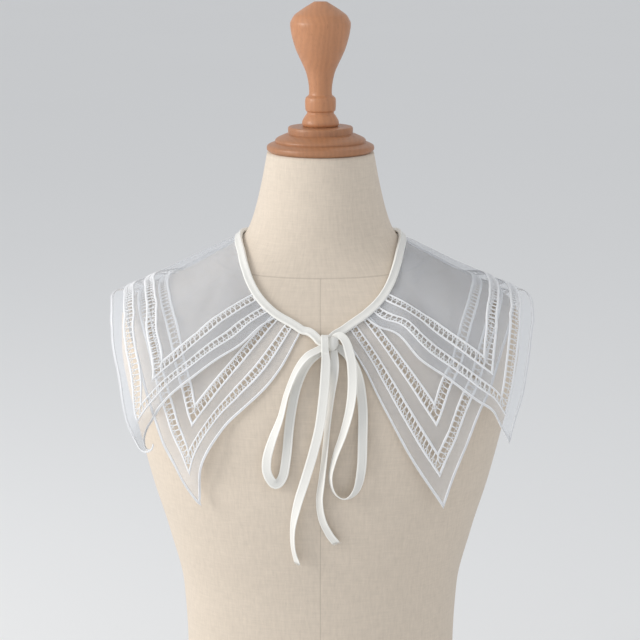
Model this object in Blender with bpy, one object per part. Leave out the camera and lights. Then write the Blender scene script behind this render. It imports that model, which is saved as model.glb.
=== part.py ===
"""A detachable two-layer organza collar tied in a bow, worn by a limbless dress form.

Metres, +Z up, the front faces -Y, and the form stands on the ground plane at the origin.
Everything sewn follows the surface of the form: a point is laid on that surface and then
moved out along its normal, so each piece of cloth lies over the one below it.
"""

import math

import bmesh
import bpy
import numpy as np

# The cloth, as heights above the surface of the form
GAP = 0.0003
SHEER = 0.0010
LOWER_REST = 0.0011
UPPER_REST = 0.0048
SHOULDER_RISE = 0.0030
SHOULDER_SPAN = (0.080, 0.180)
LACE = 0.0006
EDGING = 0.0016

# The lace and the edging, as distances in from the outline of a layer
EDGING_WIDTH = 0.0023
PANEL_START = EDGING_WIDTH + GAP
BANDS = {"outer": (0.0130, 0.0242), "inner": (0.0350, 0.0462)}
FRONT_ZONE = BANDS["inner"][1]
NECK_SHARE = 0.70

# How finely paths are followed and points are laid on the surface
PATH_POINTS = 400
PATH_STEPS = 24
BINDING_STEP = 6
SURFACE_ROUNDS = 24
SURFACE_STEP = 0.9
SLOPE_STEP = 5e-5

# Where a front edge meets the outline: the stretch that gives their angle, the step that gives
# the outline's direction, and the least squared sine that an inset is stretched by
FRONT_ANGLE_POINTS = 25
OUTLINE_STEP = 0.002
LEAST_SINE_SQUARED = 0.4
BOW_FADE = 1.5

# The bound neckline and the tie that runs on from it
TAPE_WIDTH = 0.0078
BINDING_STATIONS = 64
BINDING_THICKNESS = 0.0054
BINDING_REST = 0.0006
BINDING_CORNERS = 8
TIE_THICKNESS = 0.0018
TIE_CORNERS = 4
KNOT_CENTRE = (0.0085, -0.0980, 0.4945)
KNOT_SIZE = (0.0170, 0.0120, 0.0160)
KNOT_CLEARANCE = 0.0006
KNOT_RINGS = 9
KNOT_SEGMENTS = 14

# The tape is pinched beside the knot: its share of the full width there, and how far that reaches
PINCH = 0.58
PINCH_REACH = (0.008, 0.023)

# Columns: height, half width, front and back depth from the neck's axis, squareness, and the half
# width that the cloth keeps, which stands out past the ends of the shoulders
FORM_SECTIONS = (
    (0.000, 0.1600, 0.0980, 0.1080, 2.30, 0.1600),
    (0.045, 0.1640, 0.1020, 0.1120, 2.30, 0.1650),
    (0.105, 0.1500, 0.0960, 0.1000, 2.20, 0.1660),
    (0.170, 0.1310, 0.0900, 0.0880, 2.15, 0.1700),
    (0.235, 0.1340, 0.0980, 0.0905, 2.20, 0.1850),
    (0.295, 0.1470, 0.1130, 0.0970, 2.30, 0.2050),
    (0.350, 0.1630, 0.1220, 0.1030, 2.35, 0.2200),
    (0.400, 0.1760, 0.1190, 0.1080, 2.40, 0.2280),
    (0.440, 0.1860, 0.1120, 0.1100, 2.50, 0.2300),
    (0.475, 0.1910, 0.1000, 0.1070, 2.55, 0.2260),
    (0.500, 0.1910, 0.0880, 0.1010, 2.55, 0.2140),
    (0.513, 0.1850, 0.0800, 0.0960, 2.50, 0.1960),
    (0.522, 0.1730, 0.0750, 0.0920, 2.45, 0.1765),
    (0.532, 0.1530, 0.0700, 0.0870, 2.40, 0.1555),
    (0.545, 0.1270, 0.0640, 0.0800, 2.30, 0.1290),
    (0.558, 0.1040, 0.0600, 0.0720, 2.20, 0.1055),
    (0.570, 0.0840, 0.0580, 0.0640, 2.10, 0.0850),
    (0.582, 0.0710, 0.0570, 0.0590, 2.05, 0.0710),
    (0.600, 0.0635, 0.0565, 0.0555, 2.00, 0.0635),
    (0.630, 0.0560, 0.0530, 0.0500, 2.00, 0.0560),
    (0.659, 0.0505, 0.0500, 0.0470, 2.00, 0.0505),
)
FORM_TOP = FORM_SECTIONS[-1][0]
FORM_SEGMENTS = 36
NECK_AXIS_Y = -0.0015

# The torso's rings, close together where the shoulder runs into the neck. Columns: first height,
# last height, number of rings
FORM_RINGS = (
    (0.000, 0.470, 13),
    (0.485, 0.530, 7),
    (0.537, 0.600, 11),
    (0.615, FORM_TOP, 4),
)

# Columns: x, y, z along the middle of the binding, from near the centre front round to the back
NECKLINE = (
    (0.0180, -0.0910, 0.5050),
    (0.0280, -0.0865, 0.5110),
    (0.0425, -0.0800, 0.5200),
    (0.0555, -0.0725, 0.5315),
    (0.0650, -0.0630, 0.5450),
    (0.0710, -0.0500, 0.5590),
    (0.0745, -0.0330, 0.5705),
    (0.0768, -0.0060, 0.5775),
    (0.0735, 0.0180, 0.5770),
    (0.0650, 0.0370, 0.5750),
    (0.0450, 0.0530, 0.5730),
    (0.0220, 0.0605, 0.5722),
    (0.0000, 0.0630, 0.5720),
)

# Columns: x, y, z along the outer edge of each layer, from its front point up to the shoulder
OUTER_FRONTS = {
    ("lower", "left"): (
        (-0.1125, -0.1140, 0.3445),
        (-0.1260, -0.1110, 0.3630),
        (-0.1360, -0.1080, 0.3815),
        (-0.1460, -0.1035, 0.4000),
        (-0.1535, -0.0995, 0.4205),
        (-0.1625, -0.0920, 0.4470),
        (-0.1740, -0.0740, 0.4850),
        (-0.1850, -0.0370, 0.5150),
    ),
    ("lower", "right"): (
        (0.1140, -0.1135, 0.3415),
        (0.1240, -0.1115, 0.3715),
        (0.1360, -0.1070, 0.4005),
        (0.1470, -0.1005, 0.4285),
        (0.1570, -0.0935, 0.4485),
        (0.1715, -0.0725, 0.4880),
        (0.1830, -0.0390, 0.5145),
    ),
    ("upper", "left"): (
        (-0.1660, -0.1000, 0.3945),
        (-0.1790, -0.0930, 0.4190),
        (-0.1860, -0.0830, 0.4555),
        (-0.1905, -0.0740, 0.4740),
        (-0.1940, -0.0630, 0.4910),
        (-0.1960, -0.0490, 0.5070),
        (-0.1985, -0.0200, 0.5175),
    ),
    ("upper", "right"): (
        (0.1740, -0.0960, 0.4000),
        (0.1800, -0.0920, 0.4215),
        (0.1870, -0.0855, 0.4430),
        (0.1915, -0.0770, 0.4650),
        (0.1960, -0.0620, 0.4905),
        (0.1995, -0.0460, 0.5060),
        (0.2010, -0.0230, 0.5150),
    ),
}

# Columns: x, y, z along the rest of the outer edge, the same on both sides, to the centre back
OUTER_BACKS = {
    "lower": (
        (0.1860, 0.0020, 0.5175),
        (0.1800, 0.0350, 0.5130),
        (0.1600, 0.0680, 0.5020),
        (0.1180, 0.0900, 0.4920),
        (0.0620, 0.1010, 0.4850),
        (0.0000, 0.1050, 0.4820),
    ),
    "upper": (
        (0.1990, 0.0120, 0.5150),
        (0.1900, 0.0450, 0.5070),
        (0.1660, 0.0780, 0.4950),
        (0.1220, 0.0990, 0.4835),
        (0.0640, 0.1100, 0.4755),
        (0.0000, 0.1130, 0.4720),
    ),
}

# How far along the neckline, from its front end, the front edge of each layer starts
FRONT_STARTS = {"lower": 0.000, "upper": 0.027}

# Columns: share of the way down a front edge, and how far it bows towards the middle there
FRONT_BOWS = {
    ("lower", "left"): (
        (0.00, 0.0000),
        (0.17, 0.0022),
        (0.31, 0.0000),
        (0.45, -0.0079),
        (0.60, -0.0154),
        (0.80, -0.0147),
        (1.00, 0.0000),
    ),
    ("lower", "right"): (
        (0.00, 0.0000),
        (0.21, -0.0008),
        (0.36, 0.0013),
        (0.70, 0.0036),
        (1.00, 0.0000),
    ),
    ("upper", "left"): (
        (0.00, 0.0000),
        (0.12, -0.0016),
        (0.25, -0.0019),
        (0.38, -0.0070),
        (0.52, -0.0104),
        (0.66, -0.0137),
        (0.80, -0.0121),
        (0.93, -0.0070),
        (1.00, 0.0000),
    ),
    ("upper", "right"): (
        (0.00, 0.0000),
        (0.09, 0.0013),
        (0.20, -0.0047),
        (0.36, -0.0004),
        (0.51, -0.0035),
        (0.70, -0.0069),
        (0.80, -0.0100),
        (0.89, -0.0053),
        (1.00, 0.0000),
    ),
}

# Soft folds. Columns: x, y, z of the start, x, y, z of the end, half width, height
FOLDS = (
    (0.062, -0.066, 0.540, 0.104, -0.096, 0.470, 0.013, 0.0050),
    (0.074, -0.040, 0.570, 0.150, -0.070, 0.470, 0.018, 0.0030),
    (-0.066, -0.058, 0.548, -0.120, -0.090, 0.470, 0.016, 0.0040),
    (-0.076, -0.010, 0.580, -0.186, -0.040, 0.480, 0.020, 0.0030),
    (-0.098, -0.110, 0.420, -0.108, -0.107, 0.360, 0.014, 0.0060),
    (0.150, -0.060, 0.470, 0.176, -0.036, 0.400, 0.018, 0.0040),
    (-0.160, -0.060, 0.450, -0.170, -0.045, 0.390, 0.016, 0.0050),
    (0.050, 0.066, 0.585, 0.120, 0.096, 0.490, 0.019, 0.0035),
    (-0.040, 0.070, 0.585, -0.080, 0.106, 0.480, 0.018, 0.0045),
    (0.005, 0.074, 0.585, 0.012, 0.110, 0.478, 0.017, 0.0030),
    (-0.070, 0.040, 0.582, -0.160, 0.080, 0.500, 0.020, 0.0035),
)

MIDDLE_COLUMNS = 48
INNER_ROWS = 6

# The tape from each front end of the neckline into the knot. Columns: x, z, height of its middle
TIE_LEADS = {
    "left": (
        (-0.0125, 0.5025, 0.0042),
        (-0.0070, 0.4990, 0.0060),
        (-0.0010, 0.4960, 0.0074),
        (0.0060, 0.4945, 0.0075),
    ),
    "right": ((0.0125, 0.4985, 0.0060), (0.0080, 0.4960, 0.0075)),
}

# The bow. Columns: x, z, height of the tape's middle, and its turn in degrees
TIE_ROUTES = {
    "bow_loop_left": (
        (0.0050, 0.4930, 0.0085, 0),
        (-0.0020, 0.4905, 0.0105, 20),
        (-0.0130, 0.4850, 0.0130, 35),
        (-0.0225, 0.4725, 0.0115, 50),
        (-0.0310, 0.4520, 0.0090, 55),
        (-0.0365, 0.4310, 0.0080, 50),
        (-0.0440, 0.4110, 0.0075, 30),
        (-0.0490, 0.3930, 0.0070, 15),
        (-0.0485, 0.3790, 0.0065, 10),
        (-0.0415, 0.3690, 0.0050, 0),
        (-0.0345, 0.3760, 0.0035, -5),
        (-0.0310, 0.3960, 0.0035, -5),
        (-0.0285, 0.4220, 0.0035, -5),
        (-0.0250, 0.4450, 0.0040, -5),
        (-0.0195, 0.4640, 0.0045, -10),
        (-0.0110, 0.4790, 0.0050, -10),
        (-0.0015, 0.4865, 0.0060, 0),
        (0.0060, 0.4915, 0.0070, 0),
    ),
    "bow_loop_right": (
        (0.0184, 0.4975, 0.0112, 0),
        (0.0254, 0.4920, 0.0130, 0),
        (0.0285, 0.4780, 0.0125, 5),
        (0.0290, 0.4580, 0.0105, 15),
        (0.0265, 0.4380, 0.0090, 30),
        (0.0205, 0.4160, 0.0080, 45),
        (0.0130, 0.3950, 0.0075, 60),
        (0.0090, 0.3760, 0.0070, 70),
        (0.0130, 0.3610, 0.0065, 75),
        (0.0230, 0.3555, 0.0060, 70),
        (0.0330, 0.3640, 0.0055, 40),
        (0.0375, 0.3840, 0.0050, 10),
        (0.0385, 0.4120, 0.0045, 0),
        (0.0385, 0.4390, 0.0040, 0),
        (0.0350, 0.4640, 0.0035, -5),
        (0.0270, 0.4820, 0.0033, -5),
        (0.0190, 0.4890, 0.0036, 0),
        (0.0120, 0.4935, 0.0050, 0),
    ),
    "bow_tail_long": (
        (0.0066, 0.4910, 0.0080, 0),
        (0.0056, 0.4800, 0.0105, 0),
        (0.0042, 0.4680, 0.0118, 0),
        (0.0025, 0.4490, 0.0115, 5),
        (-0.0010, 0.4230, 0.0105, 10),
        (-0.0070, 0.3980, 0.0090, 10),
        (-0.0140, 0.3740, 0.0070, 15),
        (-0.0210, 0.3510, 0.0060, 30),
        (-0.0255, 0.3280, 0.0055, 45),
        (-0.0255, 0.3050, 0.0050, 50),
        (-0.0215, 0.2860, 0.0050, 40),
    ),
    "bow_tail_short": (
        (0.0120, 0.4910, 0.0070, 0),
        (0.0128, 0.4800, 0.0072, 0),
        (0.0120, 0.4680, 0.0062, 15),
        (0.0095, 0.4500, 0.0050, 40),
        (0.0065, 0.4240, 0.0043, 55),
        (0.0040, 0.3980, 0.0042, 55),
        (0.0010, 0.3720, 0.0042, 50),
        (-0.0010, 0.3530, 0.0040, 45),
        (0.0015, 0.3350, 0.0038, 35),
        (0.0080, 0.3200, 0.0035, 25),
        (0.0140, 0.3110, 0.0032, 20),
    ),
}
TIE_STATIONS = 30

# The turned wood on the neck. Columns: radius, height above the top of the neck
CAP_PROFILE = (
    (0.0475, 0.0000),
    (0.0503, 0.0020),
    (0.0508, 0.0042),
    (0.0498, 0.0066),
    (0.0445, 0.0090),
    (0.0428, 0.0095),
    (0.0428, 0.0115),
    (0.0405, 0.0135),
    (0.0340, 0.0165),
    (0.0306, 0.0175),
    (0.0306, 0.0225),
    (0.0290, 0.0240),
    (0.0200, 0.0242),
)
FINIAL_PROFILE = (
    (0.0165, 0.0000),
    (0.0174, 0.0020),
    (0.0170, 0.0050),
    (0.0148, 0.0090),
    (0.0127, 0.0118),
    (0.0127, 0.0135),
    (0.0141, 0.0150),
    (0.0145, 0.0190),
    (0.0145, 0.0240),
    (0.0138, 0.0268),
    (0.0112, 0.0290),
    (0.0107, 0.0315),
    (0.0113, 0.0400),
    (0.0135, 0.0500),
    (0.0164, 0.0570),
    (0.0202, 0.0650),
    (0.0236, 0.0730),
    (0.0268, 0.0840),
    (0.0283, 0.0930),
    (0.0283, 0.0970),
    (0.0250, 0.1030),
    (0.0215, 0.1060),
    (0.0150, 0.1105),
    (0.0060, 0.1160),
)
TURNED_SEGMENTS = 26

# A corner sharper than this stays a corner in the shading
SHARP_ANGLE = math.radians(50)

# Columns: colour, roughness, metallic
MATERIALS = {
    "sheer_organza": ((0.84, 0.86, 0.90), 0.55, 0.0),
    "white_lace": ((0.93, 0.93, 0.93), 0.60, 0.0),
    "ivory_tape": ((0.90, 0.89, 0.86), 0.50, 0.0),
    "linen": ((0.74, 0.67, 0.58), 0.90, 0.0),
    "turned_wood": ((0.50, 0.25, 0.12), 0.45, 0.0),
}


def clear_scene():
    for thing in list(bpy.data.objects):
        bpy.data.objects.remove(thing)


def material(name):
    found = bpy.data.materials.get(name)
    if found:
        return found
    colour, roughness, metallic = MATERIALS[name]
    made = bpy.data.materials.new(name)
    made.use_nodes = True
    shader = made.node_tree.nodes["Principled BSDF"]
    shader.inputs["Base Color"].default_value = (*colour, 1.0)
    shader.inputs["Roughness"].default_value = roughness
    shader.inputs["Metallic"].default_value = metallic
    return made


def add_object(name, points, faces, finish):
    """One closed piece from points and faces, with its faces turned outwards."""
    mesh = bpy.data.meshes.new(name)
    mesh.from_pydata([tuple(p) for p in points], [], [tuple(int(i) for i in f) for f in faces])
    work = bmesh.new()
    work.from_mesh(mesh)
    bmesh.ops.recalc_face_normals(work, faces=work.faces)
    if work.calc_volume(signed=True) < 0:
        bmesh.ops.reverse_faces(work, faces=work.faces)
    work.to_mesh(mesh)
    work.free()
    mesh.shade_smooth()
    mesh.set_sharp_from_angle(angle=SHARP_ANGLE)
    mesh.materials.append(material(finish))
    piece = bpy.data.objects.new(name, mesh)
    bpy.context.scene.collection.objects.link(piece)
    return piece


def add_rings(name, rings, finish):
    """A closed piece from rings of points, with a flat face over the first and the last."""
    count, segments = rings.shape[:2]
    faces = []
    for i in range(count - 1):
        for j in range(segments):
            a, b = i * segments + j, i * segments + (j + 1) % segments
            faces.append((a, b, b + segments, a + segments))
    faces.append(tuple(range(segments)))
    faces.append(tuple(range((count - 1) * segments, count * segments)))
    return add_object(name, rings.reshape(-1, 3), faces, finish)


# The surface of the form


def steady_slopes(heights, values):
    """Slopes at the sections that keep a smooth curve from overshooting them."""
    rise = np.diff(values) / np.diff(heights)
    slopes = np.empty_like(values)
    both = rise[:-1] * rise[1:]
    total = np.where(rise[:-1] + rise[1:] == 0, 1.0, rise[:-1] + rise[1:])
    slopes[1:-1] = np.where(both > 0, 2 * both / total, 0.0)
    slopes[0], slopes[-1] = rise[0], rise[-1]
    return slopes


SECTION_TABLE = np.array(FORM_SECTIONS)
SECTION_SLOPES = np.stack(
    [steady_slopes(SECTION_TABLE[:, 0], SECTION_TABLE[:, k]) for k in range(1, 6)], axis=1
)


def form_section(height):
    """The columns of FORM_SECTIONS, without the height, at any height."""
    heights = SECTION_TABLE[:, 0]
    z = np.clip(height, heights[0], heights[-1])
    i = np.clip(np.searchsorted(heights, z, side="right") - 1, 0, len(heights) - 2)
    span = heights[i + 1] - heights[i]
    t = ((z - heights[i]) / span)[..., None]
    low, high = SECTION_TABLE[i, 1:], SECTION_TABLE[i + 1, 1:]
    low_slope, high_slope = SECTION_SLOPES[i], SECTION_SLOPES[i + 1]
    span = span[..., None]
    ease = t * t * (3 - 2 * t)
    curve = low + (high - low) * ease
    curve = curve + span * (t * (1 - t) ** 2 * low_slope - t * t * (1 - t) * high_slope)
    return np.moveaxis(curve, -1, 0)


def outside(points):
    """0 on the surface that the cloth follows, and above 0 outside it."""
    _, front, back, power, cloth_width = form_section(points[..., 2])
    middle, depth = (back - front) / 2, (back + front) / 2
    across = np.abs(points[..., 0] / cloth_width) ** power
    along = np.abs((points[..., 1] - middle) / depth) ** power
    return (across + along) ** (1 / power) - 1


def gradient_at(points):
    gradient = np.empty_like(points)
    for k in range(3):
        shift = np.zeros(3)
        shift[k] = SLOPE_STEP
        rise = outside(points + shift) - outside(points - shift)
        gradient[..., k] = rise / (2 * SLOPE_STEP)
    return gradient


def lay_on_surface(points):
    """The points moved onto the form's surface, and the surface's normals there."""
    points = np.array(points, float)
    for _ in range(SURFACE_ROUNDS):
        gradient = gradient_at(points)
        size = np.maximum((gradient**2).sum(-1), 1e-12)
        points = points - SURFACE_STEP * (outside(points) / size)[..., None] * gradient
    gradient = gradient_at(points)
    return points, gradient / np.linalg.norm(gradient, axis=-1, keepdims=True)


def fold_height(points):
    """How far the soft folds lift both layers at these points of the form's surface."""
    total = np.zeros(points.shape[:-1])
    for row in FOLDS:
        start, end, half_width, height = np.array(row[0:3]), np.array(row[3:6]), row[6], row[7]
        run = end - start
        share = np.clip(((points - start) @ run) / (run @ run), 0.0, 1.0)
        away = np.linalg.norm(points - (start + share[..., None] * run), axis=-1)
        total += height * np.sin(np.pi * share) * np.exp(-((away / half_width) ** 2))
    return total


def upper_height(points):
    """How far the stiff upper layer stands off the lower one towards the ends of the shoulders."""
    near, far = SHOULDER_SPAN
    share = np.clip((np.abs(points[..., 0]) - near) / (far - near), 0, 1)
    return SHOULDER_RISE * share * share * (3 - 2 * share)


# Paths


def smooth_path(rows):
    """A smooth curve through the rows, as evenly spaced points."""
    rows = np.array(rows, float)
    padded = np.vstack([2 * rows[0] - rows[1], rows, 2 * rows[-1] - rows[-2]])
    t = np.linspace(0, len(rows) - 1, PATH_STEPS * len(rows))
    i = np.clip(t.astype(int), 0, len(rows) - 2)
    u = (t - i)[:, None]
    a, b, c, d = padded[i], padded[i + 1], padded[i + 2], padded[i + 3]
    curve = (2 * a - 5 * b + 4 * c - d) * u**2 + (3 * b - a - 3 * c + d) * u**3
    fine = 0.5 * (2 * b + (c - a) * u + curve)
    return at_distance(fine, np.linspace(0, 1, PATH_POINTS) * path_length(fine))


def distances(path):
    steps = np.linalg.norm(np.diff(path[:, :3], axis=0), axis=1)
    return np.concatenate([[0.0], np.cumsum(steps)])


def path_length(path):
    return distances(path)[-1]


def at_distance(path, where):
    along = distances(path)
    return np.stack([np.interp(where, along, path[:, k]) for k in range(path.shape[1])], axis=-1)


def round_the_back(left_rows, right_rows, back_rows):
    """Rows from the left front round the back to the right front. The back rows are mirrored."""
    back = np.array(back_rows)
    return np.vstack([left_rows, back[:-1] * (-1, 1, 1), back[::-1], np.array(right_rows)[::-1]])


def path_frames(centres, out):
    """Unit vectors across a path and out of the cloth, square to the path."""
    along = np.gradient(centres, axis=0)
    along /= np.linalg.norm(along, axis=1, keepdims=True)
    across = np.cross(along, out)
    across /= np.linalg.norm(across, axis=1, keepdims=True)
    return across, np.cross(across, along)


def neckline():
    """The neckline, as columns x, y, z and the unit vector across it, towards the outer edge."""
    front = np.array(NECKLINE[:1])
    rows = round_the_back(front * (-1, 1, 1), front, NECKLINE[1:])
    path, normal = lay_on_surface(smooth_path(rows))
    across, _ = path_frames(path, normal)
    outwards = -across if across[0] @ (0, 0, 1) > 0 else across
    return np.column_stack([path, outwards])


# The two layers


def layer_frame(layer):
    """The seam and the outline of a layer, and the sines of the angles at its front points."""
    neck = neckline()
    start, length = FRONT_STARTS[layer], path_length(neck)
    neck = at_distance(neck, np.linspace(start, length - start, PATH_POINTS))
    seam, _ = lay_on_surface(neck[:, :3] + neck[:, 3:] * (TAPE_WIDTH / 2 + GAP))
    seam = np.column_stack([seam, neck])
    left, right = OUTER_FRONTS[(layer, "left")], OUTER_FRONTS[(layer, "right")]
    outer, _ = lay_on_surface(smooth_path(round_the_back(left, right, OUTER_BACKS[layer])))
    sines = []
    for end, step in ((0, 1), (-1, -1)):
        front = seam[end, :3] - outer[end]
        along = outer[end + FRONT_ANGLE_POINTS * step] - outer[end]
        cosine = front @ along / np.linalg.norm(front) / np.linalg.norm(along)
        sines.append(math.sqrt(1 - cosine**2))
    return {"name": layer, "seam": seam, "outer": outer, "sines": sines}


def line_ends(frame, where):
    """Where the lines across a layer start on its seam and end on its outline.

    where runs from 0 at the left front edge to 1 where the left front zone ends, to 2 where the
    right front zone starts and to 3 at the right front edge.
    """
    seam_length, outer_length = path_length(frame["seam"]), path_length(frame["outer"])
    zone = FRONT_ZONE * NECK_SHARE
    seam = np.interp(where, (0, 1, 2, 3), (0, zone, seam_length - zone, seam_length))
    left, right = (FRONT_ZONE / s for s in frame["sines"])
    outer = np.interp(where, (0, 1, 2, 3), (0, left, outer_length - right, outer_length))
    return seam, outer


def crossing_sine(path, where, direction):
    """The sine of the angle between a path and the lines that meet it."""
    ahead = at_distance(path, where + OUTLINE_STEP) - at_distance(path, where - OUTLINE_STEP)
    ahead = ahead / np.maximum(np.linalg.norm(ahead, axis=-1, keepdims=True), 1e-9)
    cosine = (ahead * direction).sum(-1)
    return np.sqrt(np.maximum(1 - cosine**2, LEAST_SINE_SQUARED))


def front_bow(frame, where, share):
    """How far the lines of a front zone bow with its edge, less and less towards the zone's end."""
    layer = frame["name"]
    total = np.zeros(np.broadcast(where, share).shape)
    for side, depth, sign in (("left", where, 1), ("right", 3 - where, -1)):
        curve = smooth_path(FRONT_BOWS[(layer, side)])
        fade = 1 - np.clip(depth, 0, 1) ** BOW_FADE
        total = total + sign * fade * np.interp(share, curve[:, 0], curve[:, 1])
    return total


def layer_points(frame, where, inset):
    """Points of a layer on the form's surface, and their normals.

    where says which line across the layer, and inset how far in from the outline, in metres. An
    inset above 1 is 1 plus the share of the way from the inner lace to the neckline.
    """
    where, inset = np.broadcast_arrays(np.array(where, float), np.array(inset, float))
    on_seam, on_outer = line_ends(frame, where)
    start, end = at_distance(frame["seam"], on_seam)[..., :3], at_distance(frame["outer"], on_outer)
    run = end - start
    length = np.linalg.norm(run, axis=-1)
    direction = run / length[..., None]
    outer_sine = crossing_sine(frame["outer"], on_outer, direction)
    last = 1 - FRONT_ZONE / outer_sine / length
    share = np.where(inset < 1, 1 - inset / outer_sine / length, last * (2 - inset))
    surface, normal = lay_on_surface(start + run * share[..., None])
    aside = np.cross(normal, direction)
    aside /= np.linalg.norm(aside, axis=-1, keepdims=True)
    bow = front_bow(frame, where, share)
    return lay_on_surface(surface + aside * bow[..., None])


def layer_grid(layer):
    """The grid that a layer's panel, laces and edging share, and its named lines."""
    insets = [0, EDGING_WIDTH, PANEL_START, *BANDS["outer"], *BANDS["inner"]]
    left = np.array(insets) / FRONT_ZONE
    middle = np.linspace(1, 2, MIDDLE_COLUMNS + 1)[1:-1]
    columns = np.concatenate([left, middle, 3 - left[::-1]])
    rows = np.concatenate([insets, 1 + np.linspace(0, 1, INNER_ROWS + 1)[1:]])
    frame = layer_frame(layer)
    grid, normals = layer_points(frame, columns[:, None], rows[None, :])
    binding = at_distance(frame["seam"], line_ends(frame, columns)[0])[:, 3:]
    return grid, normals, binding


def meet_binding(points, binding):
    """The last line of a grid moved along the cloth to lie GAP clear of the binding's side."""
    centres, across = binding[:, :3], binding[:, 3:]
    across = across / np.linalg.norm(across, axis=1, keepdims=True)
    reach = ((points[:, -1] - centres) * across).sum(-1)
    moved = points.copy()
    moved[:, -1] += across * (TAPE_WIDTH / 2 + GAP - reach)[:, None]
    return moved


def cells_between(shape, first, last):
    """The cells of a grid from line first to line last, all along the outline of a layer."""
    columns, rows = shape[0] - 1, shape[1] - 1
    column = np.arange(columns)[:, None]
    depth = np.minimum(column, columns - 1 - column)
    line = np.minimum(depth, np.arange(rows)[None, :])
    return (line >= first) & (line < last)


def add_wall(name, grid, normals, binding, lift, cells, low, high, finish):
    """A closed wall over the chosen cells of a grid, from height low to height high above it."""
    used = np.zeros(grid.shape[:2], bool)
    for i, j in ((0, 0), (1, 0), (0, 1), (1, 1)):
        used[i : i + cells.shape[0], j : j + cells.shape[1]] |= cells
    number = np.cumsum(used).reshape(used.shape) - 1
    count = int(used.sum())
    under = meet_binding(grid + normals * (low + lift)[..., None], binding)[used]
    over = meet_binding(grid + normals * (high + lift)[..., None], binding)[used]
    padded = np.pad(cells, 1)
    faces = []
    for i, j in np.argwhere(cells):
        a, b, c, d = number[i, j], number[i + 1, j], number[i + 1, j + 1], number[i, j + 1]
        faces += [(a, b, c), (a, c, d)]
        faces += [(a + count, c + count, b + count), (a + count, d + count, c + count)]
        sides = (((0, -1), a, b), ((1, 0), b, c), ((0, 1), c, d), ((-1, 0), d, a))
        for (di, dj), p, q in sides:
            if not padded[i + 1 + di, j + 1 + dj]:
                faces += [(p, p + count, q + count), (p, q + count, q)]
    return add_object(name, np.vstack([under, over]), faces, finish)


def add_layer(layer, rest):
    grid, normals, binding = layer_grid(layer)
    lift = fold_height(grid) + (upper_height(grid) if layer == "upper" else 0)
    shape, top = grid.shape[:2], rest + SHEER
    # name, first and last line of its cells, height of its underside and top, material
    walls = (
        ("panel", 2, sum(shape), rest, top, "sheer_organza"),
        ("lace_outer", 3, 4, top + GAP, top + GAP + LACE, "white_lace"),
        ("lace_inner", 5, 6, top + GAP, top + GAP + LACE, "white_lace"),
        ("edging", 0, 1, rest - GAP, rest - GAP + EDGING, "white_lace"),
    )
    for name, first, last, low, high, finish in walls:
        cells = cells_between(shape, first, last)
        add_wall(f"{layer}_{name}", grid, normals, binding, lift, cells, low, high, finish)


# The binding, the tie and the bow


def sweep(name, centres, across, out, widths, thickness, finish, corners):
    """A flat tape with rounded corners carried along a path, with a width for each station."""
    turn = 2 * math.pi * (np.arange(corners) + 0.5) / corners
    side = np.sign(np.cos(turn)) * np.abs(np.cos(turn)) ** 0.5
    rise = np.sign(np.sin(turn)) * np.abs(np.sin(turn)) ** 0.5
    half = 0.5 / side.max()
    rings = centres[:, None] + across[:, None] * (widths[:, None] * side * half)[..., None]
    rings = rings + out[:, None] * (rise * thickness * half)[:, None]
    return add_rings(name, rings, finish)


def in_front(rows):
    """Points in front of the surface, from columns x, z and height."""
    x, z, height = np.array(rows, float)[:, :3].T
    _, front, back, power, cloth_width = form_section(z)
    middle, depth = (back - front) / 2, (back + front) / 2
    y = middle - depth * (1 - np.abs(x / cloth_width) ** power) ** (1 / power)
    return np.stack([x, y - height, z], axis=-1)


def outside_knot(path):
    """The stretch of a path that lies clear of the knot, where its first columns are x, y and z."""
    room = np.array(KNOT_SIZE) / 2 + KNOT_CLEARANCE
    clear = ((((path[:, :3] - KNOT_CENTRE) / room) ** 2).sum(1)) > 1
    return path[np.flatnonzero(clear)[0] : np.flatnonzero(clear)[-1] + 1]


def add_tape(name, path, stations, thickness, corners):
    """A tape along a path of columns x, y, z and turn."""
    path = outside_knot(path)
    path = at_distance(path, np.linspace(0, path_length(path), stations))
    centres, turn = path[:, :3], path[:, 3:]
    across, out = path_frames(centres, gradient_at(centres))
    turned_across = across * np.cos(turn) + out * np.sin(turn)
    turned_out = out * np.cos(turn) - across * np.sin(turn)
    near, far = PINCH_REACH
    share = np.clip((np.linalg.norm(centres - KNOT_CENTRE, axis=1) - near) / (far - near), 0, 1)
    widths = TAPE_WIDTH * (PINCH + (1 - PINCH) * share * share * (3 - 2 * share))
    sweep(name, centres, turned_across, turned_out, widths, thickness, "ivory_tape", corners)


def add_binding():
    """The bound neckline, which runs on at each front end into the knot."""
    surface, normal = lay_on_surface(neckline()[::BINDING_STEP, :3])
    middle = surface + normal * (BINDING_REST + BINDING_THICKNESS / 2)
    left, right = in_front(TIE_LEADS["left"]), in_front(TIE_LEADS["right"])
    path = smooth_path(np.vstack([left[::-1], middle, right]))
    flat = np.column_stack([path, np.zeros(len(path))])
    add_tape("neck_binding", flat, BINDING_STATIONS, BINDING_THICKNESS, BINDING_CORNERS)


def add_tie(name, rows):
    turns = np.radians(np.array(rows, float)[:, 3:])
    path = smooth_path(np.hstack([in_front(rows), turns]))
    add_tape(name, path, TIE_STATIONS, TIE_THICKNESS, TIE_CORNERS)


def add_knot():
    """The knot of the bow, a soft lump that the tapes run up to."""
    lift = (math.pi * (np.arange(KNOT_RINGS) + 0.5) / KNOT_RINGS)[:, None]
    turn = 2 * math.pi * np.arange(KNOT_SEGMENTS) / KNOT_SEGMENTS
    x, y = np.sin(lift) * np.cos(turn), np.sin(lift) * np.sin(turn)
    ball = np.stack([x, y, np.broadcast_to(np.cos(lift), x.shape)], axis=-1)
    add_rings("bow_knot", ball * np.array(KNOT_SIZE) / 2 + KNOT_CENTRE, "ivory_tape")


# The dress form


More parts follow.
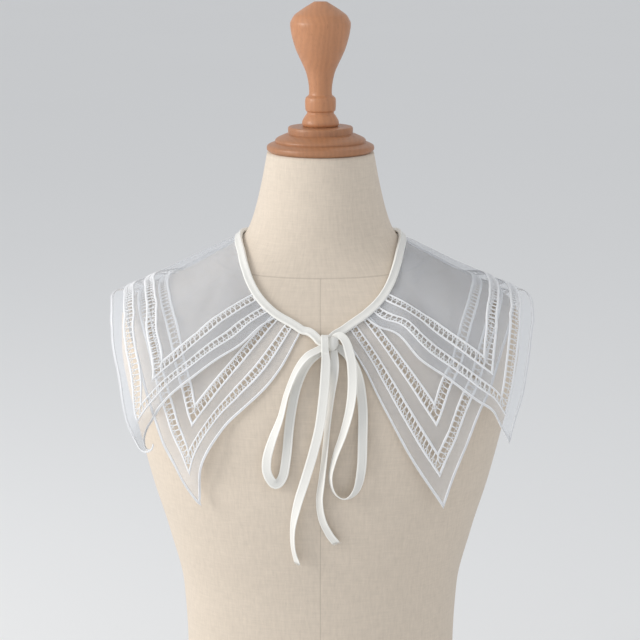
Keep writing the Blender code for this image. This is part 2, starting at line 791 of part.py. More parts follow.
def add_torso():
    heights = np.concatenate([np.linspace(*row) for row in FORM_RINGS])
    half_width, front, back, power, _ = form_section(heights)
    middle, depth = (back - front) / 2, (back + front) / 2
    turn = 2 * math.pi * np.arange(FORM_SEGMENTS) / FORM_SEGMENTS
    sine, cosine = np.sin(turn), np.cos(turn)
    across = np.sign(sine) * np.abs(sine) ** (2 / power[:, None])
    along = np.sign(cosine) * np.abs(cosine) ** (2 / power[:, None])
    x = half_width[:, None] * across
    y = middle[:, None] + depth[:, None] * along
    z = np.broadcast_to(heights[:, None], x.shape)
    add_rings("form_torso", np.stack([x, y, z], axis=-1), "linen")


def add_turned(name, profile, foot):
    """A turned piece of wood on the neck's axis, with its foot at a height."""
    radius, height = np.array(profile).T[..., None]
    turn = 2 * math.pi * np.arange(TURNED_SEGMENTS) / TURNED_SEGMENTS
    x = radius * np.cos(turn)
    y = radius * np.sin(turn) + NECK_AXIS_Y
    z = np.broadcast_to(height + foot, x.shape)
    add_rings(name, np.stack([x, y, z], axis=-1), "turned_wood")


def main():
    clear_scene()
    add_torso()
    cap_foot = FORM_TOP + GAP
    add_turned("form_cap", CAP_PROFILE, cap_foot)
    add_turned("form_finial", FINIAL_PROFILE, cap_foot + CAP_PROFILE[-1][1] + GAP)
    add_layer("lower", LOWER_REST)
    add_layer("upper", UPPER_REST)
    add_binding()
    add_knot()
    for name, rows in TIE_ROUTES.items():
        add_tie(name, rows)


main()
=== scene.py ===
"""The looks of a sheer two-layer collar with openwork bands and a ribbon bow, on its dress form.

Metres, +Z up, the front faces -Y. Every sewn piece is laid on the surface that the cloth follows and
moved out along its normal, so the panels, stitched lines, openwork and edges stay on each other.
"""

import math

import bpy
import numpy as np
from bpy.props import FloatProperty, FloatVectorProperty, PointerProperty
from bpy.types import Operator, Panel, PropertyGroup
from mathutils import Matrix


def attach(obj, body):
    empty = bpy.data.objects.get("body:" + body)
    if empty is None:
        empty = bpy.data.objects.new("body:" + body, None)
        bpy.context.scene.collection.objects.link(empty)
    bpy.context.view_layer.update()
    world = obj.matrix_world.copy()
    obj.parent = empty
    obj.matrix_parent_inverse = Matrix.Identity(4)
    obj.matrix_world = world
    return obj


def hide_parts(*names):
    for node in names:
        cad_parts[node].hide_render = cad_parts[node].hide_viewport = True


bl_info = {
    "name": "Organza collar on a dress form",
    "version": (1, 0, 0),
    "blender": (4, 5, 0),
    "location": "3D View > Sidebar > Collar",
    "description": "Builds the organza, openwork, binding, bow, dress form and studio of the collar",
    "category": "Add Mesh",
}

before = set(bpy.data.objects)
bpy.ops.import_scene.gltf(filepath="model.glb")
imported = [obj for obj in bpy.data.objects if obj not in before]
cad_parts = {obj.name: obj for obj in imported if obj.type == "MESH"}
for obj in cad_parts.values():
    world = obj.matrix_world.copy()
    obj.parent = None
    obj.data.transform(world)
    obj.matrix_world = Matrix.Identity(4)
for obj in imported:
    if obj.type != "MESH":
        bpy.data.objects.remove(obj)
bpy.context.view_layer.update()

# The cloth, as heights above the surface that it follows. The upper layer lies at SEAM_REST in the
# binding, rises to its own rest over SEAM_SPAN, and rises once more over SHOULDER_SPAN in x
RESTS = {"lower": 0.0013, "upper": 0.0050}
SEAM_REST = 0.0027
SEAM_SPAN = (0.002, 0.018)
SHOULDER_RISE = 0.0030
SHOULDER_SPAN = (0.080, 0.180)

# The two ridges of a stitched edge: distance in from the outline, and width
EDGE_LINES = ((0.0000, 0.0009), (0.0008, 0.0018))

# How deep a satin line goes into the cloth, as a share of its height: on the edge, and elsewhere
EDGE_SINK = 0.8
SATIN_SINK = 0.2

# The bands of openwork, as first and last distance in from the outline. The zone along each front
# edge is as wide as both, and keeps a share of its width at the neckline
BANDS = {"outer": (0.0130, 0.0242), "inner": (0.0350, 0.0462)}
FRONT_ZONE = BANDS["inner"][1]
NECK_SHARE = 0.70

# The lines that a panel's grid follows outside the bands, and how finely the pieces are divided
PANEL_LINES = (0.0012, 0.0036, 0.0060, 0.0084, 0.0108, 0.0128)
STRIP_LINES = (0.0246, 0.0272, 0.0298, 0.0324, 0.0348)
PANEL_COLUMNS = 361
PANEL_ROWS = 37
SATIN_STATIONS = (80, 520)
SATIN_AROUND = 10
OPENWORK_STATIONS = (110, 700)
OPENWORK_LINES = 5

# A cell of openwork, as shares of its width and height: the place of the knot, the spread of the
# two legs, the start of the fine threads beside the bundle, and what chance adds
KNOT_PLACE = 0.56
LEG_SPREAD = 0.42
FINE_ASIDE = 0.17
CHANCE_ASIDE = 0.04
CHANCE_UP = 0.03
THREAD_LIFT = 0.0001

# The bound neckline and the tie that runs on from it. The layers' seams are tucked under the tape,
# and FOLD_SLIT is the place across it of its fold's slit, along which painted shade darkens the tape
TAPE_WIDTH = 0.0078
BOW_WIDTH = 0.0088
TUCK = 0.0024
FOLD_SLIT = 0.00234
BINDING_RISE = 0.0033
KNOT_CENTRE = np.array((0.0085, -0.0980, 0.4945))
KNOT_SIZE = np.array((0.0170, 0.0120, 0.0160))

# The share of the knot's oval at which each tape ends inside it
KNOT_SHARES = {"tape": 0.80, "binding": 0.45}

# The lobes of the knot. Columns: place from its centre, size, lean in radians, depth of the folds
KNOT_LOBES = (
    ((0.0000, 0.0010, 0.0002), (0.0130, 0.0100, 0.0130), 0.0, 0.05),
    ((0.0022, -0.0018, 0.0006), (0.0114, 0.0092, 0.0142), -0.22, 0.09),
    ((-0.0052, 0.0000, -0.0032), (0.0066, 0.0080, 0.0072), 1.05, 0.06),
)

# The strap over the knot, down into the long tail. Columns: x, y, z from the knot's centre
STRAP_ROUTE = (
    (-0.0044, 0.0030, 0.0060),
    (-0.0046, -0.0022, 0.0086),
    (-0.0047, -0.0064, 0.0066),
    (-0.0046, -0.0082, 0.0015),
    (-0.0043, -0.0084, -0.0045),
    (-0.0041, -0.0083, -0.0085),
    (-0.0040, -0.0076, -0.0110),
)
STRAP_SHARE = 0.84
STRAP_HALF = 0.6

# The tape beside the knot. Columns: its width, the least share of it, and the distances from the
# knot's centre between which it grows to the whole
PINCH = {"tape": (BOW_WIDTH, 0.78, 0.006, 0.024), "binding": (TAPE_WIDTH, 0.84, 0.005, 0.012)}

# How far the left end of the binding is raised, over this length of it
LEFT_RISE = 0.0023
LEFT_SPAN = 0.036

# The folded tape's section: the points round it, the powers that flatten it across and up, the depth
# and width of its sunk middle, the place and width of the groove by one lip, and the groove's depths
TAPE_AROUND = 28
TAPE_POWERS = (0.62, 0.55)
MIDDLE_DIP = (0.42, 0.55)
GROOVE = (0.60, 0.07)
GROOVE_DEPTHS = {"tape": 0.30, "binding": 0.22}

# Small swellings along a sewn piece. Columns: depth, turn for each metre, lag for each seed
SATIN_SWELL = ((0.05, 410, 1), (0.04, 173, 2))
TAPE_PUCKER = ((0.05, 520, 1), (0.04, 231, 2.3))
TAPE_LEAN = ((0.06, 148, 1.7),)

# The frayed ends: the number of threads, their spread over the tape's width, their least length and
# what chance adds to it, and their radii from root to tip
FRAY_THREADS = 26
FRAY_SPREAD = 0.48
FRAY_LENGTHS = (0.0012, 0.0016)
FRAY_RADII = (0.00016, 0.00008)

# Columns: height, half width, front and back depth from the neck's axis, squareness, and the half
# width that the cloth keeps, which stands out past the ends of the shoulders
FORM_SECTIONS = np.array(
    (
        (0.000, 0.1600, 0.0980, 0.1080, 2.30, 0.1600),
        (0.045, 0.1640, 0.1020, 0.1120, 2.30, 0.1650),
        (0.105, 0.1500, 0.0960, 0.1000, 2.20, 0.1660),
        (0.170, 0.1310, 0.0900, 0.0880, 2.15, 0.1700),
        (0.235, 0.1340, 0.0980, 0.0905, 2.20, 0.1850),
        (0.295, 0.1470, 0.1130, 0.0970, 2.30, 0.2050),
        (0.350, 0.1630, 0.1220, 0.1030, 2.35, 0.2200),
        (0.400, 0.1760, 0.1190, 0.1080, 2.40, 0.2280),
        (0.440, 0.1860, 0.1120, 0.1100, 2.50, 0.2300),
        (0.475, 0.1910, 0.1000, 0.1070, 2.55, 0.2260),
        (0.500, 0.1910, 0.0880, 0.1010, 2.55, 0.2140),
        (0.513, 0.1850, 0.0800, 0.0960, 2.50, 0.1960),
        (0.522, 0.1730, 0.0750, 0.0920, 2.45, 0.1765),
        (0.532, 0.1530, 0.0700, 0.0870, 2.40, 0.1555),
        (0.545, 0.1270, 0.0640, 0.0800, 2.30, 0.1290),
        (0.558, 0.1040, 0.0600, 0.0720, 2.20, 0.1055),
        (0.570, 0.0840, 0.0580, 0.0640, 2.10, 0.0850),
        (0.582, 0.0710, 0.0570, 0.0590, 2.05, 0.0710),
        (0.600, 0.0635, 0.0565, 0.0555, 2.00, 0.0635),
        (0.630, 0.0560, 0.0530, 0.0500, 2.00, 0.0560),
        (0.659, 0.0505, 0.0500, 0.0470, 2.00, 0.0505),
    )
)
FORM_TOP = FORM_SECTIONS[-1, 0]
FORM_AROUND = 192
FORM_RINGS = 220
BASE_ROUND = 0.004
BASE_TURN = 1.2
BASE_RINGS = 5
NECK_AXIS_Y = -0.0015

# The seams of the cover: the neck's height in front, how far in front that is, and its slope to the
# back; the y of the side seams; half a seam's width; and how sharply a seam stops, for each metre
NECK_SEAM = (0.549, 0.062, 0.22)
SIDE_SEAM_Y = 0.002
SEAM_HALF = 0.0007
SEAM_STOP = 1000.0

# Columns: x, y, z along the middle of the binding, from near the centre front round to the back
NECKLINE = (
    (0.0180, -0.0910, 0.5050),
    (0.0280, -0.0865, 0.5110),
    (0.0425, -0.0800, 0.5200),
    (0.0555, -0.0725, 0.5315),
    (0.0650, -0.0630, 0.5450),
    (0.0710, -0.0500, 0.5590),
    (0.0745, -0.0330, 0.5705),
    (0.0768, -0.0060, 0.5775),
    (0.0735, 0.0180, 0.5770),
    (0.0650, 0.0370, 0.5750),
    (0.0450, 0.0530, 0.5730),
    (0.0220, 0.0605, 0.5722),
    (0.0000, 0.0630, 0.5720),
)

# Columns: x, y, z along the outer edge of each layer, from its front point up to the shoulder
OUTER_FRONTS = {
    ("lower", "left"): (
        (-0.1125, -0.1140, 0.3445),
        (-0.1260, -0.1110, 0.3630),
        (-0.1360, -0.1080, 0.3815),
        (-0.1460, -0.1035, 0.4000),
        (-0.1535, -0.0995, 0.4205),
        (-0.1625, -0.0920, 0.4470),
        (-0.1740, -0.0740, 0.4850),
        (-0.1850, -0.0370, 0.5150),
    ),
    ("lower", "right"): (
        (0.1140, -0.1135, 0.3415),
        (0.1240, -0.1115, 0.3715),
        (0.1360, -0.1070, 0.4005),
        (0.1470, -0.1005, 0.4285),
        (0.1570, -0.0935, 0.4485),
        (0.1715, -0.0725, 0.4880),
        (0.1830, -0.0390, 0.5145),
    ),
    ("upper", "left"): (
        (-0.1660, -0.1000, 0.3945),
        (-0.1790, -0.0930, 0.4190),
        (-0.1860, -0.0830, 0.4555),
        (-0.1905, -0.0740, 0.4740),
        (-0.1940, -0.0630, 0.4910),
        (-0.1960, -0.0490, 0.5070),
        (-0.1985, -0.0200, 0.5175),
    ),
    ("upper", "right"): (
        (0.1740, -0.0960, 0.4000),
        (0.1800, -0.0920, 0.4215),
        (0.1870, -0.0855, 0.4430),
        (0.1915, -0.0770, 0.4650),
        (0.1960, -0.0620, 0.4905),
        (0.1995, -0.0460, 0.5060),
        (0.2010, -0.0230, 0.5150),
    ),
}

# Columns: x, y, z along the rest of the outer edge, the same on both sides, to the centre back
OUTER_BACKS = {
    "lower": (
        (0.1860, 0.0020, 0.5175),
        (0.1800, 0.0350, 0.5130),
        (0.1600, 0.0680, 0.5020),
        (0.1180, 0.0900, 0.4920),
        (0.0620, 0.1010, 0.4850),
        (0.0000, 0.1050, 0.4820),
    ),
    "upper": (
        (0.1990, 0.0120, 0.5150),
        (0.1900, 0.0450, 0.5070),
        (0.1660, 0.0780, 0.4950),
        (0.1220, 0.0990, 0.4835),
        (0.0640, 0.1100, 0.4755),
        (0.0000, 0.1130, 0.4720),
    ),
}

# Where each layer starts along the neckline, how much wider than sewn its left and right front zones
# are on the outline, and the power by which the bows of the front edges fade across them
FRONT_STARTS = {"lower": 0.000, "upper": 0.027}
ZONE_STRETCH = {"lower": (1.25, 1.00), "upper": (1.00, 1.00)}
BOW_FADE = 1.5

# Points along the neckline and the outlines, points from a tip to where its angle is taken, places
# on each side over which the crossing angles are evened out, and the least square of their sines
NECK_POINTS = 400
OUTLINE_POINTS = 900
TIP_POINTS = 56
CROSSING_REACH = 9
LEAST_SQUARE = 0.4

# Columns: share of the way down a front edge, and how far it bows towards the middle there
FRONT_BOWS = {
    ("lower", "left"): (
        (0.00, 0.0000),
        (0.17, 0.0022),
        (0.31, 0.0000),
        (0.45, -0.0079),
        (0.60, -0.0154),
        (0.80, -0.0147),
        (1.00, 0.0000),
    ),
    ("lower", "right"): (
        (0.00, 0.0000),
        (0.21, -0.0008),
        (0.36, 0.0013),
        (0.70, 0.0036),
        (1.00, 0.0000),
    ),
    ("upper", "left"): (
        (0.00, 0.0000),
        (0.12, -0.0016),
        (0.25, -0.0019),
        (0.38, -0.0070),
        (0.52, -0.0104),
        (0.66, -0.0137),
        (0.80, -0.0121),
        (0.93, -0.0070),
        (1.00, 0.0000),
    ),
    ("upper", "right"): (
        (0.00, 0.0000),
        (0.09, 0.0013),
        (0.20, -0.0047),
        (0.36, -0.0004),
        (0.51, -0.0035),
        (0.70, -0.0069),
        (0.80, -0.0100),
        (0.89, -0.0053),
        (1.00, 0.0000),
    ),
}

# The main folds. Columns: x, y, z of the start, x, y, z of the end, half width, height
FOLDS = (
    (0.062, -0.066, 0.540, 0.104, -0.096, 0.470, 0.013, 0.0050),
    (0.074, -0.040, 0.570, 0.150, -0.070, 0.470, 0.018, 0.0030),
    (-0.066, -0.058, 0.548, -0.120, -0.090, 0.470, 0.016, 0.0040),
    (-0.076, -0.030, 0.572, -0.125, -0.070, 0.495, 0.012, 0.0030),
    (-0.098, -0.110, 0.420, -0.108, -0.107, 0.360, 0.014, 0.0060),
    (0.150, -0.060, 0.470, 0.176, -0.036, 0.400, 0.018, 0.0040),
    (-0.160, -0.060, 0.450, -0.170, -0.045, 0.390, 0.016, 0.0050),
    (0.050, 0.066, 0.585, 0.120, 0.096, 0.490, 0.019, 0.0035),
    (-0.040, 0.070, 0.585, -0.080, 0.106, 0.480, 0.018, 0.0045),
    (0.005, 0.074, 0.585, 0.012, 0.110, 0.478, 0.017, 0.0030),
    (-0.070, 0.040, 0.582, -0.160, 0.080, 0.500, 0.020, 0.0035),
)

# The small creases of the crisp cloth, listed one by one. The same columns
CREASES = (
    (-0.070, -0.040, 0.566, -0.105, -0.066, 0.505, 0.0060, 0.0012),
    (-0.074, -0.020, 0.576, -0.128, -0.058, 0.508, 0.0075, 0.0014),
    (-0.088, -0.050, 0.545, -0.116, -0.078, 0.492, 0.0050, -0.0009),
    (-0.112, -0.030, 0.548, -0.140, -0.072, 0.488, 0.0080, 0.0010),
    (-0.105, -0.100, 0.440, -0.140, -0.108, 0.400, 0.0050, -0.0010),
    (0.071, -0.036, 0.568, 0.098, -0.064, 0.515, 0.0060, 0.0013),
    (0.084, -0.052, 0.545, 0.120, -0.080, 0.480, 0.0070, -0.0010),
    (0.098, -0.030, 0.555, 0.140, -0.064, 0.496, 0.0090, 0.0011),
    (0.096, -0.098, 0.455, 0.128, -0.108, 0.392, 0.0055, 0.0012),
    (0.064, 0.040, 0.578, 0.124, 0.074, 0.512, 0.0070, 0.0014),
    (0.028, 0.062, 0.576, 0.050, 0.098, 0.500, 0.0060, -0.0011),
    (-0.016, 0.066, 0.574, -0.030, 0.102, 0.492, 0.0065, 0.0012),
    (-0.056, 0.050, 0.578, -0.118, 0.086, 0.498, 0.0075, 0.0015),
    (-0.074, 0.010, 0.578, -0.150, 0.034, 0.532, 0.0080, 0.0012),
    (0.076, 0.004, 0.580, 0.160, 0.012, 0.532, 0.0080, 0.0013),
)

# The left tips that curl. Columns: x, y, z of the outline's way there, how far the tip is drawn out,
# the curl's start from the tip, its radius, and how far the corner turns edge on, in degrees
CURLS = {
    "upper": ((0.454, -0.245, -0.857), 0.0190, -0.0030, 0.0080, 76.0),
    "lower": ((0.600, -0.130, -0.790), 0.0020, -0.0050, 0.0120, 20.0),
}

# How far from the tip it is drawn out, the places along the way between which the turn grows, and
# how far from the tip the curl reaches
DRAWN_REACH = 0.024
TURN_SPAN = (-0.028, -0.005)
CURL_REACH = 0.050

# The tape from each front end of the neckline into the knot. Columns: x, z, height of its middle
TIE_LEADS = {
    "left": (
        (-0.0115, 0.5046, 0.0046),
        (-0.0075, 0.5028, 0.0056),
        (-0.0036, 0.4997, 0.0066),
        (-0.0005, 0.4965, 0.0072),
        (0.0060, 0.4940, 0.0072),
    ),
    "right": ((0.0130, 0.5018, 0.0052), (0.0088, 0.4992, 0.0064), (0.0050, 0.4970, 0.0068)),
}

# The bow. Columns: x, z, height of the tape's middle, and its turn to the left in degrees
TIE_ROUTES = {
    "bow_loop_left": (
        (0.0050, 0.4930, 0.0085, 0),
        (-0.0020, 0.4905, 0.0105, 20),
        (-0.0130, 0.4850, 0.0130, 35),
        (-0.0225, 0.4725, 0.0115, 50),
        (-0.0310, 0.4520, 0.0090, 55),
        (-0.0365, 0.4310, 0.0080, 50),
        (-0.0440, 0.4110, 0.0075, 30),
        (-0.0490, 0.3930, 0.0070, 15),
        (-0.0485, 0.3790, 0.0065, 10),
        (-0.0415, 0.3690, 0.0050, 0),
        (-0.0345, 0.3760, 0.0035, -5),
        (-0.0310, 0.3960, 0.0035, -5),
        (-0.0285, 0.4220, 0.0035, -5),
        (-0.0250, 0.4450, 0.0040, -5),
        (-0.0195, 0.4640, 0.0045, -10),
        (-0.0110, 0.4790, 0.0050, -10),
        (-0.0015, 0.4865, 0.0060, 0),
        (0.0060, 0.4915, 0.0070, 0),
    ),
    "bow_loop_right": (
        (0.0105, 0.4968, 0.0085, 0),
        (0.0138, 0.5010, 0.0105, 0),
        (0.0182, 0.5026, 0.0122, 0),
        (0.0223, 0.4990, 0.0130, 0),
        (0.0254, 0.4920, 0.0130, 0),
        (0.0285, 0.4780, 0.0125, 5),
        (0.0290, 0.4580, 0.0105, 15),
        (0.0265, 0.4380, 0.0090, 30),
        (0.0205, 0.4160, 0.0080, 45),
        (0.0130, 0.3950, 0.0075, 60),
        (0.0090, 0.3760, 0.0070, 70),
        (0.0130, 0.3610, 0.0065, 75),
        (0.0230, 0.3555, 0.0060, 70),
        (0.0330, 0.3640, 0.0055, 40),
        (0.0375, 0.3840, 0.0050, 10),
        (0.0385, 0.4120, 0.0045, 0),
        (0.0385, 0.4390, 0.0040, 0),
        (0.0350, 0.4640, 0.0035, -5),
        (0.0270, 0.4820, 0.0033, -5),
        (0.0190, 0.4890, 0.0036, 0),
        (0.0120, 0.4935, 0.0050, 0),
    ),
    "bow_tail_long": (
        (0.0040, 0.4925, 0.0105, 0),
        (0.0044, 0.4880, 0.0125, 0),
        (0.0048, 0.4800, 0.0112, 0),
        (0.0042, 0.4680, 0.0118, 0),
        (0.0025, 0.4490, 0.0115, 5),
        (-0.0010, 0.4230, 0.0105, 10),
        (-0.0070, 0.3980, 0.0090, 10),
        (-0.0140, 0.3740, 0.0070, 15),
        (-0.0210, 0.3510, 0.0060, 30),
        (-0.0255, 0.3280, 0.0055, 57),
        (-0.0255, 0.3070, 0.0050, 60),
        (-0.0218, 0.2905, 0.0050, 50),
    ),
    "bow_tail_short": (
        (0.0120, 0.4910, 0.0070, 0),
        (0.0128, 0.4800, 0.0072, 0),
        (0.0120, 0.4680, 0.0062, 15),
        (0.0095, 0.4500, 0.0050, 40),
        (0.0065, 0.4240, 0.0043, 55),
        (0.0040, 0.3980, 0.0042, 55),
        (0.0010, 0.3720, 0.0042, 50),
        (-0.0010, 0.3530, 0.0040, 45),
        (0.0015, 0.3350, 0.0038, 35),
        (0.0080, 0.3200, 0.0035, 25),
        (0.0140, 0.3110, 0.0032, 20),
    ),
}
FREE_ENDS = ("bow_tail_long", "bow_tail_short")

# The turned wood on the neck. Columns: radius, height above the top of the neck, 1 at a cut edge
CAP_PROFILE = (
    (0.0475, 0.0000, 1),
    (0.0503, 0.0020, 0),
    (0.0508, 0.0042, 0),
    (0.0498, 0.0066, 0),
    (0.0445, 0.0090, 1),
    (0.0428, 0.0095, 1),
    (0.0428, 0.0115, 0),
    (0.0405, 0.0135, 0),
    (0.0340, 0.0165, 1),
    (0.0306, 0.0175, 1),
    (0.0306, 0.0225, 0),
    (0.0290, 0.0240, 0),
    (0.0200, 0.0242, 1),
)
FINIAL_PROFILE = (
    (0.0165, 0.0000, 1),
    (0.0174, 0.0020, 0),
    (0.0170, 0.0050, 0),
    (0.0148, 0.0090, 0),
    (0.0127, 0.0118, 1),
    (0.0127, 0.0135, 1),
    (0.0141, 0.0150, 0),
    (0.0145, 0.0190, 0),
    (0.0145, 0.0240, 0),
    (0.0138, 0.0268, 0),
    (0.0112, 0.0290, 1),
    (0.0107, 0.0315, 0),
    (0.0113, 0.0400, 0),
    (0.0135, 0.0500, 0),
    (0.0164, 0.0570, 0),
    (0.0202, 0.0650, 0),
    (0.0236, 0.0730, 0),
    (0.0268, 0.0840, 0),
    (0.0283, 0.0930, 0),
    (0.0283, 0.0970, 1),
    (0.0250, 0.1030, 0),
    (0.0215, 0.1060, 0),
    (0.0150, 0.1105, 0),
    (0.0060, 0.1160, 0),
)
WOOD_AROUND = 96
WOOD_GAP = 0.0003
WOOD_TONES = {"form_cap": 0.90, "form_finial": 1.14}
PROFILE_POINTS = (3, 6)
CUT_ANGLE = 50

# The view: the eye, the tilt down and the length of the lens in pixels of a 640 pixel picture
EYE = (0.0, -1.9445, 0.9096)
TILT_DOWN = 12.0
PICTURE = 640
LENS_PIXELS = 2065.2
PICTURE_CENTRE = (320.5, 320.0)
SENSOR = 36.0
FAR_CLIP = 60.0

# The lights: the place, size and colour of each, and the point that they face
LIGHTS = {
    "key": ((-2.3, -0.8, 1.45), 1.3, (1.0, 0.985, 0.96)),
    "fill": ((1.9, -1.2, 1.2), 2.2, (0.94, 0.97, 1.0)),
}
LIGHT_AIM = (0.0, 0.0, 0.48)
SKY_COLOUR = (0.965, 0.98, 1.0, 1.0)
FLOOR_REACH = 16.0
FLOOR_SQUARES = 8
FLOOR_DROP = 0.0004


class CollarSizes(PropertyGroup):
    """Sizes of the sewing."""

    organza: FloatProperty(
        name="Organza", description="Thickness of the organza", default=0.00022, unit="LENGTH"
    )
    satin_width: FloatProperty(
        name="Satin line", description="Width of a satin-stitched line", default=0.0024, unit="LENGTH"
    )
    satin_height: FloatProperty(
        name="Satin height", description="Height of a satin-stitched line", default=0.0008, unit="LENGTH"
    )
    cell: FloatProperty(
        name="Cell", description="Distance between two bundles of the openwork", default=0.0052, unit="LENGTH"
    )
    bundle: FloatProperty(
        name="Bundle", description="Radius of a bundle of threads", default=0.00068, unit="LENGTH"
    )
    binding: FloatProperty(
        name="Binding", description="Thickness of the folded binding", default=0.0050, unit="LENGTH"
    )
    tape: FloatProperty(
        name="Tape", description="Thickness of the folded tape of the bow", default=0.0013, unit="LENGTH"
    )


class CollarColours(PropertyGroup):
    """Colours of the collar and its form."""

    organza: FloatVectorProperty(
        name="Organza", description="Colour of the organza", default=(0.84, 0.87, 0.92), subtype="COLOR"
    )
    organza_cover: FloatProperty(
        name="Cover", description="How much each face of the organza hides", default=0.19, subtype="FACTOR"
    )
    thread: FloatVectorProperty(
        name="Thread",
        description="Colour of the embroidery thread",
        default=(0.93, 0.94, 0.96),
        subtype="COLOR",
    )
    tape: FloatVectorProperty(
        name="Tape",
        description="Colour of the binding and the bow",
        default=(0.88, 0.87, 0.83),
        subtype="COLOR",
    )
    linen: FloatVectorProperty(
        name="Linen", description="Colour of the form's cover", default=(0.70, 0.61, 0.51), subtype="COLOR"
    )
    wood: FloatVectorProperty(
        name="Wood", description="Colour of the turned wood", default=(0.41, 0.185, 0.088), subtype="COLOR"
    )


class CollarStage(PropertyGroup):
    """The studio round the form."""

    floor: FloatVectorProperty(
        name="Floor", description="Colour of the floor", default=(0.87, 0.875, 0.88), subtype="COLOR"
    )
    key: FloatProperty(name="Key", description="Power of the key light", default=42.0, unit="POWER")
    fill: FloatProperty(name="Fill", description="Power of the fill light", default=4.0, unit="POWER")
    sky: FloatProperty(name="Sky", description="Strength of the even light", default=0.68, min=0.0)


# Shading


class Value:
    """A socket that holds a number. Python's operators on it add Math nodes."""

    def __init__(self, finish, socket):
        self.finish = finish
        self.socket = socket

    def math(self, operation, *others):
        """A Math node of this value and the others."""
        values = {k: v for k, v in enumerate((self, *others))}
        return self.finish.node("ShaderNodeMath", {"operation": operation}, values)

    def __add__(self, other):
        return self.math("ADD", other)

    __radd__ = __add__

    def __mul__(self, other):
        return self.math("MULTIPLY", other)

    __rmul__ = __mul__

    def __sub__(self, other):
        return self.math("SUBTRACT", other)

    def __rsub__(self, other):
        return self.finish.node("ShaderNodeMath", {"operation": "SUBTRACT"}, {0: other, 1: self})

    def __abs__(self):
        return self.math("ABSOLUTE")

    def clamped(self):
        """The value, kept from 0 to 1."""
        return self.finish.node("ShaderNodeClamp", {}, {0: self})


class Finish:
    """A material under construction, with one method for its nodes."""

    def __init__(self, name):
        self.material = bpy.data.materials.new(name)
        self.material.use_nodes = True
        self.tree = self.material.node_tree
        self.tree.nodes.clear()
        self.output = self.tree.nodes.new("ShaderNodeOutputMaterial")

    def node(self, kind, settings, values, output=0):
        """Adds a node, sets its settings, then sets or links its sockets, and gives one output."""
        made = self.tree.nodes.new(kind)
        for key, value in settings.items():
            setattr(made, key, value)
        for key, value in values.items():
            if isinstance(value, Value):
                self.tree.links.new(value.socket, made.inputs[key])
            else:
                made.inputs[key].default_value = value
        return Value(self, made.outputs[output])

    def place(self, output="Object"):
        """The place on the piece: in its own axes, or on its UV map."""
        return self.node("ShaderNodeTexCoord", {}, {}, output)

    def scaled(self, place, scale):
        """The place, stretched along its axes."""
        return self.node("ShaderNodeMapping", {}, {"Vector": place, "Scale": scale})

    def axes(self, place):
        """The three numbers of a place."""
        return [self.node("ShaderNodeSeparateXYZ", {}, {0: place}, k) for k in "XYZ"]

    def noise(self, place, scale, detail=3.0, roughness=0.5):
        """Soft noise at a place, from 0 to 1."""
        values = {"Vector": place, "Scale": scale, "Detail": detail, "Roughness": roughness}
        return self.node("ShaderNodeTexNoise", {}, values)

    def mix(self, share, first, second):
        """A mix of two colours. Sockets 6 and 7 of the Mix node are its colours."""
        colours = {0: share, 6: self.colour(first), 7: self.colour(second)}
        return self.node("ShaderNodeMix", {"data_type": "RGBA"}, colours, 2)

    def colour(self, colour):
        """A linked colour as it is, or three numbers with a full alpha."""
        return colour if isinstance(colour, Value) else (*colour, 1.0)

    def bump(self, height, distance):
        """The normal of a surface that is raised by the height times the distance."""
        return self.node("ShaderNodeBump", {}, {"Height": height, "Distance": distance, "Strength": 1.0})

    def surface(self, **values):
        """The Principled shader, as the material's surface. A key's underlines stand for spaces."""
        named = {key.replace("_", " "): value for key, value in values.items()}
        shader = self.node("ShaderNodeBsdfPrincipled", {}, named)
        self.tree.links.new(shader.socket, self.output.inputs["Surface"])
        return self.material


def wave(finish, coordinate, period):
    """0 to 1 and back along a coordinate: half of 1 plus the sine of 2 pi times it over the period."""
    return (coordinate * (2 * math.pi / period)).math("SINE") * 0.5 + 0.5


def organza_finish(name, colours):
    """Crisp sheer cloth: even cover with a watered pattern, a fine square weave and a dull sheen."""
    finish = Finish(name)
    u, v, _ = finish.axes(finish.place("UV"))
    water = finish.noise(finish.scaled(finish.place(), (1.0, 1.0, 0.45)), 42.0, 4.0, 0.6)
    weave = wave(finish, u, 0.00042) * wave(finish, v, 0.00042)
    cover = colours.organza_cover + (water - 0.5) * 0.08 + (0.25 - weave) * 0.05
    tint = finish.mix(water, [c * 0.94 for c in colours.organza], colours.organza)
    return finish.surface(
        Base_Color=tint,
        Roughness=0.55,
        Alpha=cover.clamped(),
        Normal=finish.bump(weave, 0.00004),
        Specular_IOR_Level=0.35,
        Sheen_Weight=0.25,
        Sheen_Roughness=0.4,
    )


def satin_finish(name, colours):
    """Satin stitch: fine threads side by side across a line, with a soft shine along them."""
    finish = Finish(name)
    u, _, _ = finish.axes(finish.place("UV"))
    uneven = finish.noise(finish.place(), 900.0, 2.0)
    threads = wave(finish, u + uneven * 0.0004, 0.00055)
    tint = finish.mix(threads * 0.55 + 0.45, [c * 0.86 for c in colours.thread], colours.thread)
    return finish.surface(
        Base_Color=tint,
        Roughness=0.45 + uneven * 0.2,
        Normal=finish.bump(threads, 0.00010),
        Sheen_Weight=0.20,
        Sheen_Roughness=0.5,
    )


def bundle_finish(name, colours):
    """Bundles of drawn threads wound with the same white thread."""
    finish = Finish(name)
    winding = finish.noise(finish.place(), 2600.0, 2.0, 0.7)
    tint = finish.mix(winding, [c * 0.80 for c in colours.thread], colours.thread)
    return finish.surface(
        Base_Color=tint, Roughness=0.6, Normal=finish.bump(winding, 0.00012), Sheen_Weight=0.15
    )


